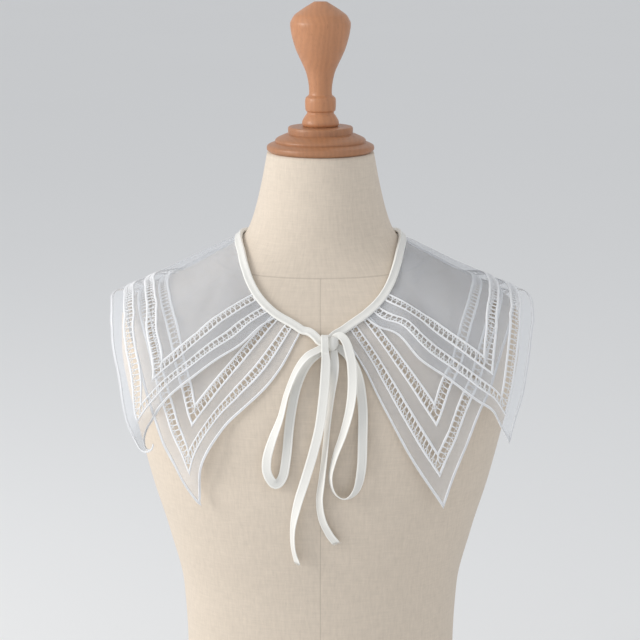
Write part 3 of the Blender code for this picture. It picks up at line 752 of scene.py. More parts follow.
def tape_finish(name, colours):
    """Folded bias tape: threads that cross it at 45 degrees, a painted highlight on the rolled edges and
    painted shade over the middle, a painted shade line along the slit of the fold beside one edge,
    and a soft shine."""
    finish = Finish(name)
    u, v, _ = finish.axes(finish.place("UV"))
    weave = wave(finish, u + v, 0.00050) * wave(finish, u - v, 0.00050)
    soft = finish.noise(finish.scaled(finish.place("UV"), (1.0, 3.0, 1.0)), 60.0, 3.0)
    # Painted highlight: the rims take a lighter colour than the middle, with a little random tone
    rim = ((abs(v) - 0.0024) * (1 / 0.0010)).clamped()
    # Painted shade: a dark line along the slit of the fold, over the groove of the tape's section
    slit = (1.0 - abs(v - FOLD_SLIT) * (1 / 0.00022)).clamped()
    # The middle's colour, darkened as painted shade
    middle = [c * 0.90 for c in colours.tape]
    tint = finish.mix(rim * 0.8 + soft * 0.2, middle, [min(1.0, c * 1.07) for c in colours.tape])
    tint = finish.mix(weave * 0.4, tint, [c * 0.86 for c in colours.tape])
    tint = finish.mix(slit * 0.45, tint, [c * 0.55 for c in colours.tape])
    return finish.surface(
        Base_Color=tint,
        Roughness=0.42 + soft * 0.16,
        Normal=finish.bump(weave * 0.5 + soft, 0.00010),
        Sheen_Weight=0.30,
        Sheen_Roughness=0.35,
    )


def linen_finish(name, colours):
    """Unbleached linen: two crossed sets of slubby threads, and the seams of the form's cover."""
    finish = Finish(name)
    place = finish.place("UV")
    x, y, z = finish.axes(finish.place())
    across = finish.noise(finish.scaled(place, (110.0, 900.0, 1.0)), 1.0, 3.0, 0.6)
    upright = finish.noise(finish.scaled(place, (900.0, 110.0, 1.0)), 1.0, 3.0, 0.6)
    patches = finish.noise(finish.place(), 9.0, 2.0)
    slubs = finish.noise(finish.scaled(place, (60.0, 420.0, 1.0)), 1.0, 2.0, 0.6)
    slubs = slubs + finish.noise(finish.scaled(place, (420.0, 60.0, 1.0)), 1.0, 2.0, 0.6) * 1.3
    threads = (across + upright * 1.3 + slubs) * (1 / 4.6)
    level, ahead, slope = NECK_SEAM
    neck_seam = abs(z - level - (y + ahead) * slope)
    above = 1.0 - ((level - z) * (2 * SEAM_STOP)).clamped()
    front = abs(x) + (y * SEAM_STOP).clamped() + above
    side = abs(y - SIDE_SEAM_Y) + above
    back = abs(x) + (y * -SEAM_STOP).clamped() + above
    nearest = neck_seam.math("MINIMUM", front).math("MINIMUM", side).math("MINIMUM", back)
    seam = (1.0 - nearest * (1 / SEAM_HALF)).clamped()
    linen = colours.linen
    contrast = ((threads - 0.5) * 2.4 + 0.5).clamped()
    tint = finish.mix(contrast, [c * 0.84 for c in linen], [min(1.0, c * 1.12) for c in linen])
    tint = finish.mix(patches * 0.25, tint, [c * 0.86 for c in linen])
    tint = finish.mix(seam * 0.40, tint, [c * 0.45 for c in linen])
    return finish.surface(
        Base_Color=tint,
        Roughness=0.88,
        Normal=finish.bump(threads - seam * 1.5, 0.00010),
        Specular_IOR_Level=0.2,
        Sheen_Weight=0.12,
    )


def wood_finish(name, colours, tone):
    """Turned wood: growth rings cut lengthways, fine pores along the grain and a waxed surface."""
    finish = Finish(name)
    place = finish.place()
    x, y, _ = finish.axes(place)
    bend = finish.noise(finish.scaled(place, (1.0, 1.0, 0.25)), 26.0, 3.0)
    rings = wave(finish, x + bend * 0.034 + y * 0.30, 0.0052)
    pores = finish.noise(finish.scaled(place, (1.0, 1.0, 0.04)), 1500.0, 3.0, 0.7)
    clouds = finish.noise(place, 55.0, 3.0)
    wood = [c * tone for c in colours.wood]
    tint = finish.mix(rings * 0.28, [c * 1.18 for c in wood], [c * 0.80 for c in wood])
    tint = finish.mix(clouds * 0.35, tint, [c * 0.82 for c in wood])
    pits = ((pores - 0.56) * 8.0).clamped()
    tint = finish.mix(pits * 0.35, tint, [c * 0.42 for c in wood])
    return finish.surface(
        Base_Color=tint,
        Roughness=0.40 + pits * 0.25,
        Normal=finish.bump(1.0 - pits, 0.00008),
        Coat_Weight=0.12,
        Coat_Roughness=0.35,
    )


def floor_finish(name, colour):
    """A plain pale floor with faint wide clouds."""
    finish = Finish(name)
    soft = finish.noise(finish.place(), 0.7, 2.0)
    tint = finish.mix(soft, [c * 0.985 for c in colour], colour)
    return finish.surface(Base_Color=tint, Roughness=0.9, Specular_IOR_Level=0.1)


# The surface that the cloth follows


def steady_slopes(heights, values):
    """Slopes at the sections: the harmonic mean of the rises on both sides, 0 at a turning point."""
    rise = np.diff(values) / np.diff(heights)
    slopes = np.empty_like(values)
    total = np.where(rise[:-1] + rise[1:] == 0, 1.0, rise[:-1] + rise[1:])
    slopes[1:-1] = np.where(rise[:-1] * rise[1:] > 0, 2 * rise[:-1] * rise[1:] / total, 0.0)
    slopes[0], slopes[-1] = rise[0], rise[-1]
    return slopes


SECTION_SLOPES = np.stack(
    [steady_slopes(FORM_SECTIONS[:, 0], FORM_SECTIONS[:, k]) for k in range(1, 6)], axis=1
)


def form_section(height):
    """The columns of FORM_SECTIONS at any height: cubics that meet the sections and their slopes."""
    heights = FORM_SECTIONS[:, 0]
    z = np.clip(height, heights[0], heights[-1])
    i = np.clip(np.searchsorted(heights, z, side="right") - 1, 0, len(heights) - 2)
    span = (heights[i + 1] - heights[i])[..., None]
    t = (z - heights[i])[..., None] / span
    low, high = FORM_SECTIONS[i, 1:], FORM_SECTIONS[i + 1, 1:]
    curve = low + (high - low) * t * t * (3 - 2 * t)
    curve = curve + span * t * (1 - t) * ((1 - t) * SECTION_SLOPES[i] - t * SECTION_SLOPES[i + 1])
    return np.moveaxis(curve, -1, 0)


def middle_and_depth(front, back):
    """The middle of a section in y, and half its depth, from its depths in front and behind."""
    return (back - front) / 2, (back + front) / 2


def outside(points):
    """0 on the surface: the power mean of x and y over the half axes, less 1."""
    _, front, back, power, cloth_width = form_section(points[..., 2])
    middle, depth = middle_and_depth(front, back)
    across = np.abs(points[..., 0] / cloth_width) ** power
    along = np.abs((points[..., 1] - middle) / depth) ** power
    return (across + along) ** (1 / power) - 1


def gradient_at(points, step=5e-5):
    """The gradient of outside: its difference over a step each way, over two steps."""
    gradient = np.empty_like(points)
    for k in range(3):
        shift = np.zeros(3)
        shift[k] = step
        gradient[..., k] = (outside(points + shift) - outside(points - shift)) / (2 * step)
    return gradient


def lay_on_surface(points, rounds=16):
    """Points moved down the gradient onto the surface, and the surface's normals there."""
    points = np.array(points, float)
    for _ in range(rounds):
        gradient = gradient_at(points)
        size = np.maximum((gradient**2).sum(-1), 1e-12)
        points = points - 0.9 * (outside(points) / size)[..., None] * gradient
    gradient = gradient_at(points)
    return points, unit(gradient)


def turned_about(vectors, first, second, angle):
    """Vectors turned by an angle from one of their axes towards another."""
    turned = vectors.copy()
    cosine, sine = np.cos(angle), np.sin(angle)
    turned[..., first] = vectors[..., first] * cosine - vectors[..., second] * sine
    turned[..., second] = vectors[..., first] * sine + vectors[..., second] * cosine
    return turned


def unit(vectors):
    """Vectors over their lengths."""
    return vectors / np.maximum(np.linalg.norm(vectors, axis=-1, keepdims=True), 1e-12)


def ridges(points, rows):
    """The sum of soft ridges: height times half a sine along each and a bell across it."""
    total = np.zeros(points.shape[:-1])
    for row in rows:
        start, run = np.array(row[0:3]), np.array(row[3:6]) - np.array(row[0:3])
        share = np.clip(((points - start) @ run) / (run @ run), 0.0, 1.0)
        away = np.linalg.norm(points - (start + share[..., None] * run), axis=-1)
        total += row[7] * np.sin(np.pi * share) * np.exp(-((away / row[6]) ** 2))
    return total


def flattened(values, power):
    """The sign of the values times their size to a power."""
    return np.sign(values) * np.abs(values) ** power


def turns_round(count, start=0.0):
    """Angles round a circle: 2 pi times each number and the start, over the count."""
    return 2 * np.pi * (np.arange(count) + start) / count


def soft_step(value, low, high):
    """0 below low, 1 above high, and 3 t squared less 2 t cubed between."""
    t = np.clip((value - low) / (high - low), 0.0, 1.0)
    return t * t * (3 - 2 * t)


# Paths


def smooth_path(rows, count=400):
    """A Catmull-Rom curve through the rows, as evenly spaced points."""
    rows = np.array(rows, float)
    padded = np.vstack([2 * rows[0] - rows[1], rows, 2 * rows[-1] - rows[-2]])
    t = np.linspace(0, len(rows) - 1, 24 * len(rows))
    i = np.clip(t.astype(int), 0, len(rows) - 2)
    u = (t - i)[:, None]
    a, b, c, d = padded[i], padded[i + 1], padded[i + 2], padded[i + 3]
    curve = (2 * a - 5 * b + 4 * c - d) * u**2 + (3 * b - a - 3 * c + d) * u**3
    fine = 0.5 * (2 * b + (c - a) * u + curve)
    return at_distance(fine, np.linspace(0, 1, count) * path_length(fine))


def distances(path):
    """The distance of each point of a path from its start."""
    steps = np.linalg.norm(np.diff(path[:, :3], axis=0), axis=1)
    return np.concatenate([[0.0], np.cumsum(steps)])


def path_length(path):
    """The whole length of a path."""
    return distances(path)[-1]


def at_distance(path, where):
    """The path's columns at these distances from its start, by straight interpolation."""
    along = distances(path)
    return np.stack([np.interp(where, along, path[:, k]) for k in range(path.shape[1])], axis=-1)


def round_the_back(left_rows, right_rows, back_rows):
    """Rows from the left front round the back to the right front. The back rows are mirrored."""
    back = np.array(back_rows)
    return np.vstack([left_rows, back[:-1] * (-1, 1, 1), back[::-1], np.array(right_rows)[::-1]])


def path_frames(centres, out):
    """Unit vectors across a path and out of the cloth: cross products with the path's direction."""
    along = unit(np.gradient(centres, axis=0))
    across = unit(np.cross(along, out))
    return across, np.cross(across, along)


def neckline():
    """The neckline, as columns x, y, z and the unit vector across it, towards the outer edge."""
    front = np.array(NECKLINE[:1])
    rows = round_the_back(front * (-1, 1, 1), front, NECKLINE[1:])
    path, normal = lay_on_surface(smooth_path(rows))
    across, _ = path_frames(path, normal)
    outwards = -across if across[0] @ (0, 0, 1) > 0 else across
    return np.column_stack([path, outwards])


# The two layers of organza


class Layer:
    """One layer of the collar: its seam, its outline and the places between them.

    A place is where, from 0 at the left front edge to 3 at the right one with 1 and 2 at the inner
    ends of the front zones, and share, from 0 at the seam to 1 at the outline.
    """

    def __init__(self, name, rest):
        self.name = name
        self.rest = rest
        neck = neckline()
        start, length = FRONT_STARTS[name], path_length(neck)
        neck = at_distance(neck, np.linspace(start, length - start, NECK_POINTS))
        reach = TAPE_WIDTH / 2 - TUCK
        self.seam, _ = lay_on_surface(neck[:, :3] + neck[:, 3:] * reach)
        left, right = OUTER_FRONTS[(name, "left")], OUTER_FRONTS[(name, "right")]
        rows = round_the_back(left, right, OUTER_BACKS[name])
        self.outer, _ = lay_on_surface(smooth_path(rows, OUTLINE_POINTS))
        stretch = ZONE_STRETCH[name]
        self.zones = [FRONT_ZONE / sine * k for sine, k in zip(self.front_sines(), stretch)]
        self.bows = [smooth_path(FRONT_BOWS[(name, side)], 200) for side in ("left", "right")]
        self.crossings = self.find_crossings()

    def front_sines(self):
        """The sine of the angle between each front edge and the outline at its point."""
        sines = []
        for end, near in ((0, TIP_POINTS), (-1, -1 - TIP_POINTS)):
            front = unit(self.seam[end] - self.outer[end])
            along = unit(self.outer[near] - self.outer[end])
            sines.append(math.sqrt(1 - (front @ along) ** 2))
        return sines

    def ends(self, where):
        """The points of the seam and the outline at these places, and the outline's distances."""
        seam_length, outer_length = path_length(self.seam), path_length(self.outer)
        zone = FRONT_ZONE * NECK_SHARE
        on_seam = np.interp(where, (0, 1, 2, 3), (0, zone, seam_length - zone, seam_length))
        stops = (0, self.zones[0], outer_length - self.zones[1], outer_length)
        on_outer = np.interp(where, (0, 1, 2, 3), stops)
        return at_distance(self.seam, on_seam), at_distance(self.outer, on_outer), on_outer

    def find_crossings(self):
        """The cosines between the outline and the lines across it, evened out by a moving mean whose
        weights are half of 1 plus a cosine, and the distances along the outline that they are for."""
        on_outer = np.linspace(0, path_length(self.outer), 401)
        where = np.interp(on_outer, self.ends(np.arange(4.0))[2], np.arange(4))
        start, end, _ = self.ends(where)
        ahead = np.gradient(end, axis=0)
        cosine = (unit(ahead) * unit(end - start)).sum(-1)
        weights = 1 + np.cos(np.linspace(-np.pi, np.pi, 2 * CROSSING_REACH + 1))
        padded = np.pad(cosine, CROSSING_REACH, "edge")
        return on_outer, np.convolve(padded, weights / weights.sum(), "valid")

    def crossing(self, on_outer):
        """The cosine and sine of the angle between the outline and the line across it."""
        cosine = np.interp(on_outer, *self.crossings)
        return cosine, np.sqrt(np.maximum(1 - cosine**2, LEAST_SQUARE))

    def share_at(self, where, inset):
        """The share at a distance in from the outline: 1 less inset over the line's length across it."""
        start, end, on_outer = self.ends(where)
        _, sine = self.crossing(on_outer)
        return 1 - inset / sine / np.linalg.norm(end - start, axis=-1)

    def surface(self, where, share):
        """Points between the seam and the outline, bowed with the front edges, laid on the surface."""
        start, end, _ = self.ends(where)
        run = end - start
        base, normal = lay_on_surface(start + run * share[..., None])
        aside = unit(np.cross(normal, unit(run)))
        bow = np.zeros(share.shape)
        for curve, depth, sign in ((self.bows[0], where, 1), (self.bows[1], 3 - where, -1)):
            fade = (1 - np.clip(depth, 0, 1) ** BOW_FADE) ** 2
            bow = bow + sign * fade * np.interp(share, curve[:, 0], curve[:, 1])
        return lay_on_surface(base + aside * bow[..., None], rounds=6)

    def lifted(self, where, share):
        """The surface moved out by the layer's rest, folds and creases, and the surface's normals.

        The upper layer starts low in the binding, and lies a little higher past the shoulders.
        """
        base, normal = self.surface(where, share)
        start, end, _ = self.ends(where)
        lift = ridges(base, FOLDS) + ridges(base, CREASES)
        from_seam = share * np.linalg.norm(end - start, axis=-1)
        if self.name == "upper":
            lift = lift + SEAM_REST + (self.rest - SEAM_REST) * soft_step(from_seam, *SEAM_SPAN)
            lift = lift + SHOULDER_RISE * soft_step(np.abs(base[..., 0]), *SHOULDER_SPAN)
        else:
            lift = lift + self.rest
        return base + normal * lift[..., None], normal

    def place(self, where, share):
        """The middle of the cloth and its normals."""
        return self.curled(*self.lifted(where, share))

    def curled(self, points, normals):
        """Curls the left tip. A point's places along the outline's way, in from it and out of the
        cloth are a, w and n. The tip is drawn out along a, w turns back by an angle that grows to the
        tip, and past the start the way bends round: a becomes the sine, and w the radius less the
        cosine, of the distance past it over the radius, both times the radius less w.
        """
        way, drawn, start, radius, edge_on = CURLS[self.name]
        (corner,), (out,) = self.lifted(np.zeros(1), np.ones(1))
        way = unit(np.array(way) - out * (np.array(way) @ out))
        inward = np.cross(way, out)
        inward = inward if inward[0] > 0 else -inward
        axes = np.stack([way, inward, out])
        place, facing = (points - corner) @ axes.T, normals @ axes.T
        away = np.linalg.norm(place, axis=-1)
        place[..., 0] += drawn * (1 - soft_step(away, 0, DRAWN_REACH))
        angle = math.radians(edge_on) * soft_step(place[..., 0], *TURN_SPAN)
        angle = np.where(away < CURL_REACH, angle, 0)
        place, facing = turned_about(place, 1, 2, -angle), turned_about(facing, 1, 2, -angle)
        past = np.where(away < CURL_REACH, np.maximum(place[..., 0] - start, 0), 0)
        left = radius - place[..., 1]
        bent = place.copy()
        bent[..., 0] = start + left * np.sin(past / radius)
        bent[..., 1] = radius - left * np.cos(past / radius)
        place = np.where((past > 0)[..., None], bent, place)
        facing = turned_about(facing, 0, 1, past / radius)
        return corner + place @ axes, unit(facing @ axes)

    def slant_at(self, on_outer):
        """The cotangent of the angle between the outline and the line across it, at a distance."""
        cosine, sine = self.crossing(on_outer)
        return cosine / sine

    def band(self, insets, leg_count, edge_count):
        """Places on lines at distances in from the outline: down the left front, round the outline
        and up the right front, stations by lines. Returns where and share.

        A station lies straight across all the lines. On the outline that moves each line's place
        by its inset times the slant. At a tip a line waits at its own corner for the others.
        """
        insets = np.asarray(insets)
        corners = np.stack([insets / FRONT_ZONE, 3 - insets / FRONT_ZONE])
        last = self.share_at(corners, np.broadcast_to(insets, corners.shape))
        steps = np.linspace(0, 1, leg_count)[:, None]
        legs = [np.minimum(steps * side.max(), side) for side in last]
        stops = self.ends(corners)[2]
        fixed = self.ends(np.arange(4.0))[2]
        ends = stops - insets * self.slant_at(stops)
        foot = np.linspace(ends[0].min(), ends[1].max(), edge_count)[1:-1, None]
        place = np.clip(foot + insets * self.slant_at(foot), stops[0], stops[1])
        where = np.interp(place, fixed, np.arange(4))
        edge = self.share_at(where, np.broadcast_to(insets, where.shape))
        sides = [np.broadcast_to(corner, leg.shape) for corner, leg in zip(corners, legs)]
        return np.vstack([sides[0], where, sides[1]]), np.vstack([legs[0], edge, legs[1][::-1]])


# Meshes


def add_mesh(name, finish, points, faces, uv=None):
    """A smooth-shaded piece at the origin, from arrays of points, faces and points' UV places."""
    mesh = bpy.data.meshes.new(name)
    mesh.from_pydata(points, [], faces)
    mesh.shade_smooth()
    if uv is not None:
        layer = mesh.uv_layers.new(name="cloth")
        corners = np.empty(len(mesh.loops), np.int32)
        mesh.loops.foreach_get("vertex_index", corners)
        layer.data.foreach_set("uv", np.asarray(uv, np.float32)[corners].ravel())
    mesh.materials.append(finish)
    mesh.validate()
    piece = bpy.data.objects.new(name, mesh)
    bpy.context.scene.collection.objects.link(piece)
    return piece


def finished(piece, slot, *nodes):
    """The piece rides on the part's one body, and stands for its nodes."""
    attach(piece, "root")
    if nodes:
        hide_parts(*nodes)
    return piece


def grid_quads(rows, columns, closed=False):
    """The faces of a grid of rows by columns of points, whose columns may close on themselves."""
    last = columns if closed else columns - 1
    i, j = np.meshgrid(np.arange(rows - 1), np.arange(last), indexing="ij")
    k = (j + 1) % columns
    quads = np.stack([i * columns + j, i * columns + k, (i + 1) * columns + k, (i + 1) * columns + j], -1)
    return quads.reshape(-1, 4)


def tube_mesh(rings):
    """A closed tube through rings of points, its ends closed by the faces of the rings."""
    count, around = rings.shape[:2]
    quads = grid_quads(count, around, closed=True).tolist()
    first = list(range(around))[::-1]
    last = list(range((count - 1) * around, count * around))
    return rings.reshape(-1, 3), quads + [first, last]


def outward(points, faces):
    """The faces, turned round where the volume they close is negative: a sixth of the sum of the
    triple products of their first three corners, over fans of triangles."""
    total = 0.0
    for face in faces:
        p = points[list(face)]
        total += np.cross(p[1:-1], p[2:]).dot(p[0]).sum()
    return faces if total > 0 else [list(face)[::-1] for face in faces]


def shell(grid, normals, keep, thickness):
    """A thin closed wall over the kept cells of a grid: the grid moved half the thickness out and
    in, and a rim along each open edge."""
    rows, columns = grid.shape[:2]
    used = np.zeros((rows, columns), bool)
    for i, j in ((0, 0), (1, 0), (0, 1), (1, 1)):
        used[i : i + rows - 1, j : j + columns - 1] |= keep
    number = np.cumsum(used).reshape(used.shape) - 1
    count = int(used.sum())
    half = normals * (thickness / 2)
    points = np.vstack([(grid - half)[used], (grid + half)[used]])
    i, j = np.nonzero(keep)
    a, b, c, d = number[i, j], number[i + 1, j], number[i + 1, j + 1], number[i, j + 1]
    faces = [np.stack([a, b, c, d], -1), np.stack([d, c, b, a], -1) + count]
    padded = np.pad(keep, 1)
    for di, dj, p, q in ((0, -1, a, b), (1, 0, b, c), (0, 1, c, d), (-1, 0, d, a)):
        open_side = ~padded[i + 1 + di, j + 1 + dj]
        p, q = p[open_side], q[open_side]
        faces.append(np.stack([q, p, p + count, q + count], -1))
    return points, np.vstack(faces), used


# The panels, the stitched lines and the openwork


def panel_lines():
    """The distances in from the outline that the panel's grid follows, and the two slots' lines."""
    width = bpy.context.scene.collar_sizes.satin_width
    slots = [(first + width * 0.7, last - width * 0.7) for first, last in BANDS.values()]
    lines = [*PANEL_LINES, slots[0][0], slots[0][1], *STRIP_LINES, slots[1][0], slots[1][1], FRONT_ZONE]
    return np.array(lines), [lines.index(first) for first, _ in slots]


def build_panel(layer, finish, thickness):
    """One layer of organza, as a thin wall with its slots cut through for the openwork."""
    lines, slots = panel_lines()
    left = lines / FRONT_ZONE
    middle = np.linspace(1, 2, PANEL_COLUMNS)[1:-1]
    where = np.concatenate([left, middle, 3 - left[::-1]])
    inner = np.linspace(0, 1, PANEL_ROWS)[1:]
    columns = where[:, None]
    flat = np.broadcast_to(columns, (len(where), len(lines)))
    bands = layer.share_at(flat, np.broadcast_to(lines, flat.shape))
    share = np.hstack([bands, bands[:, -1:] * (1 - inner)])
    grid, normals = layer.place(np.broadcast_to(columns, share.shape), share)
    column, row = np.arange(len(where) - 1)[:, None], np.arange(share.shape[1] - 1)[None, :]
    line = np.minimum(np.minimum(column, len(where) - 2 - column), row)
    keep = (line != slots[0]) & (line != slots[1])
    points, faces, used = shell(grid, normals, keep, thickness)
    uv = surface_lengths(grid)[used]
    name = f"{layer.name}_organza"
    piece = add_mesh(name, finish, points, faces, np.vstack([uv, uv]))
    return finished(piece, "sheer_organza", f"{layer.name}_panel"), area(grid)


def surface_lengths(grid):
    """A UV place in metres for each point of a grid: the mean length along the outline and the
    distance across from the seam."""
    along = np.linalg.norm(np.diff(grid, axis=0), axis=-1).mean(1)
    across = np.linalg.norm(np.diff(grid, axis=1), axis=-1)
    u = np.concatenate([[0.0], np.cumsum(along)])[:, None] + np.zeros(grid.shape[1])
    v = np.hstack([np.zeros((len(grid), 1)), np.cumsum(across, axis=1)])
    return np.stack([u, v], -1)


def area(grid):
    """The area of a grid of points: half the cross product of each cell's diagonals."""
    first = grid[1:, 1:] - grid[:-1, :-1]
    second = grid[1:, :-1] - grid[:-1, 1:]
    return float(np.linalg.norm(np.cross(first, second), axis=-1).sum() / 2)


def band_grid(layer, insets, leg_count, edge_count):
    """The cloth along lines at several distances in from the outline, stations by lines."""
    return layer.place(*layer.band(insets, leg_count, edge_count))


def swelling(along, seed, rows):
    """The sum of sines along a piece: depth times the sine of turn times distance and lag times seed."""
    return sum(depth * np.sin(along * turn + lag * seed) for depth, turn, lag in rows)


def satin_line(layer, first, width, height, seed, sink=SATIN_SINK):
    """A satin-stitched line over the cloth: an oval of the width and height carried along it.

    Its height is the sine, and its place across the cosine, of the turn round the oval. The two
    thin out and swell by a few hundredths along the way.
    """
    turn = turns_round(SATIN_AROUND, 0.5)
    grid, normals = band_grid(layer, (first, first + width / 2, first + width), *SATIN_STATIONS)
    middle, normal = grid[:, 1], normals[:, 1]
    half = (grid[:, 2] - grid[:, 0]) / 2
    along = distances(middle)
    rise = np.where(np.sin(turn) > 0, np.sin(turn), np.sin(turn) * sink) * height
    swell = (1 + swelling(along, seed, SATIN_SWELL))[:, None, None]
    rings = middle[:, None] + half[:, None] * np.cos(turn)[None, :, None] * swell
    rings = rings + normal[:, None] * rise[None, :, None] * swell
    uv = np.stack(np.broadcast_arrays(along[:, None], np.cos(turn) * width / 2), -1)
    points, faces = tube_mesh(rings)
    return points, outward(points, faces), uv.reshape(-1, 2)


def joined(parts):
    """Several meshes as one: their points in a row, and their faces counted on."""
    points, faces, uvs = [], [], []
    count = 0
    for part_points, part_faces, part_uv in parts:
        points.append(part_points)
        faces += [[int(i) + count for i in face] for face in part_faces]
        uvs.append(part_uv)
        count += len(part_points)
    return np.vstack(points), faces, np.vstack(uvs)


def thread_tubes(paths, normals, radii, around=5):
    """Short closed tubes, one for each path: at each station a ring of the radius, in the plane of
    the normal and of its cross product with the path's direction."""
    along = np.gradient(paths, axis=1)
    side = unit(np.cross(along, normals))
    up = unit(np.cross(side, along))
    turn = turns_round(around)
    spread = side[:, :, None] * np.cos(turn)[:, None] + up[:, :, None] * np.sin(turn)[:, None]
    rings = paths[:, :, None] + spread * radii[:, :, None, None]
    tubes, stations = rings.shape[:2]
    body = grid_quads(stations, around, closed=True)
    starts = (np.arange(tubes) * stations * around)[:, None, None]
    quads = (body[None] + starts).reshape(-1, 4).tolist()
    last = (stations - 1) * around
    for start in (np.arange(tubes) * stations * around).tolist():
        quads.append([start + k for k in range(around)][::-1])
        quads.append([start + last + k for k in range(around)])
    return rings.reshape(-1, 3), quads


def openwork(layer, band, sizes):
    """The drawn threads of a slot, gathered in bundles.

    A place is the distance along the slot over the distance between bundles, and a share from 0 at
    the inner line to 1 at the outer one. Each bundle runs straight from the inner line to the knot,
    and forks there into two legs. A fine thread runs through the knots.
    """
    first, last = BANDS[band]
    rim = sizes.satin_width * 0.5
    lines = np.linspace(last - rim, first + rim, OPENWORK_LINES)
    grid, normals = band_grid(layer, lines if band == "outer" else lines[::-1], *OPENWORK_STATIONS)
    along = distances(grid[:, OPENWORK_LINES // 2])
    cells = int(round(along[-1] / sizes.cell))
    step = along[-1] / cells
    stem = (np.arange(cells) + 0.5) * step
    rng = np.random.default_rng(7 + len(band) + 3 * len(layer.name))
    sway = rng.normal(0, CHANCE_ASIDE, cells) * step
    knot = KNOT_PLACE + rng.normal(0, CHANCE_UP, cells)
    leg, fine = LEG_SPREAD * step, FINE_ASIDE * step

    def tubes(starts, ends, v_starts, v_ends, thick, bend=0.0):
        """Threads from starts to ends, straight but for a bend, from one thickness to another."""
        t = np.linspace(0, 1, 4)
        place_u = starts[:, None] + (ends - starts)[:, None] * t + bend * np.sin(np.pi * t) * step
        place_v = np.broadcast_to(v_starts, starts.shape)[:, None] * (1 - t)
        place_v = place_v + np.broadcast_to(v_ends, starts.shape)[:, None] * t
        points, out = at_band(grid, along, place_u, place_v), at_band(normals, along, place_u, place_v)
        radius = sizes.bundle * (thick[0] + (thick[1] - thick[0]) * t)
        return thread_tubes(points + out * THREAD_LIFT, unit(out), np.broadcast_to(radius, place_u.shape))

    groups = [
        tubes(stem + sway * 0.4, stem + sway, 0.0, knot, (1.10, 0.92)),
        tubes(stem + sway, stem - leg, knot, 1.0, (0.80, 0.75), -0.03),
        tubes(stem + sway, stem + leg, knot, 1.0, (0.80, 0.75), 0.03),
        tubes(stem - fine, stem + sway - 0.03 * step, 0.0, knot * 0.6, (0.50, 0.40)),
        tubes(stem + fine, stem + sway + 0.03 * step, 0.0, knot * 0.6, (0.50, 0.40)),
        tubes(stem[:-1] + sway[:-1], stem[1:] + sway[1:], knot[:-1], knot[1:], (0.34, 0.34)),
    ]
    parts = [(points, faces, np.zeros((len(points), 2))) for points, faces in groups]
    return joined(parts)[:2]


def at_band(values, along, place_u, place_v):
    """Values of a band's grid between its stations and lines, by straight interpolation."""
    lines = values.shape[1]
    u = np.interp(place_u, along, np.arange(len(along)))
    v = np.clip(place_v, 0, 1) * (lines - 1)
    i, j = np.clip(u.astype(int), 0, len(along) - 2), np.clip(v.astype(int), 0, lines - 2)
    s, t = (u - i)[..., None], (v - j)[..., None]
    low = values[i, j] * (1 - s) + values[i + 1, j] * s
    high = values[i, j + 1] * (1 - s) + values[i + 1, j + 1] * s
    return low * (1 - t) + high * t


# The binding and the bow


def in_front(rows):
    """Points in front of the surface, from columns x, z and height: its front y, less the height."""
    x, z, height = np.array(rows, float)[:, :3].T
    _, front, back, power, cloth_width = form_section(z)
    middle, depth = middle_and_depth(front, back)
    y = middle - depth * (1 - np.abs(x / cloth_width) ** power) ** (1 / power)
    return np.stack([x, y - height, z], axis=-1)


def outside_knot(path, kind):
    """The stretch of a path that lies clear of a smaller oval inside the knot's."""
    clear = (((path[:, :3] - KNOT_CENTRE) / (KNOT_SIZE / 2 * KNOT_SHARES[kind])) ** 2).sum(1) > 1
    return path[np.flatnonzero(clear)[0] : np.flatnonzero(clear)[-1] + 1]


def tape_section(groove_depth):
    """Half a folded tape's section, as places across and rises from -1 to 1.

    Across is the cosine and rise the sine of the turn, both flattened by a power. The middle sinks
    by a bell so that the two folded edges stand up as lips, and a narrow groove parts one lip.
    """
    turn = turns_round(TAPE_AROUND, 0.5)
    across, rise = flattened(np.cos(turn), TAPE_POWERS[0]), flattened(np.sin(turn), TAPE_POWERS[1])
    (depth, half_width), (groove, groove_half) = MIDDLE_DIP, GROOVE
    dip = depth * np.exp(-((across / half_width) ** 2))
    dip = dip + groove_depth * np.exp(-(((across - groove) / groove_half) ** 2))
    return across, rise * (1 - dip)


def swept_tape(path, turns, widths, thickness, groove_depth, seed):
    """A tape carried along a path: its section times the width and thickness at each station, in
    the frame of the path and the surface, turned by the route's turn, with small puckers."""
    across, out = path_frames(path, gradient_at(path))
    cosine, sine = np.cos(turns)[:, None], np.sin(turns)[:, None]
    turned_across = across * cosine + out * sine
    turned_out = out * cosine - across * sine
    side, rise = tape_section(groove_depth)
    along = distances(path)
    pucker, lean = swelling(along, seed, TAPE_PUCKER), swelling(along, seed, TAPE_LEAN)
    thick = thickness / 2 * (1 + pucker[:, None] * np.abs(side) + lean[:, None] * side)
    rings = path[:, None] + turned_across[:, None] * (widths[:, None] / 2 * side)[..., None]
    rings = rings + turned_out[:, None] * (thick * rise)[..., None]
    uv = np.stack(np.broadcast_arrays(along[:, None], widths[:, None] / 2 * side), -1)
    points, faces = tube_mesh(rings)
    return points, outward(points, faces), uv.reshape(-1, 2)


def pinched(path, kind):
    """The tape's width along a path: narrower beside the knot, by a soft step of the distance."""
    width, least, near, far = PINCH[kind]
    away = np.linalg.norm(path - KNOT_CENTRE, axis=1)
    return width * (least + (1 - least) * soft_step(away, near, far))


def tie_path(name, count):
    """The route of one part of the bow, clear of the knot: its points and its turns."""
    rows = np.array(TIE_ROUTES[name], float)
    path = smooth_path(np.column_stack([in_front(rows), np.radians(-rows[:, 3])]))
    path = outside_knot(path, "tape")
    path = at_distance(path, np.linspace(0, path_length(path), count))
    return path[:, :3], path[:, 3]


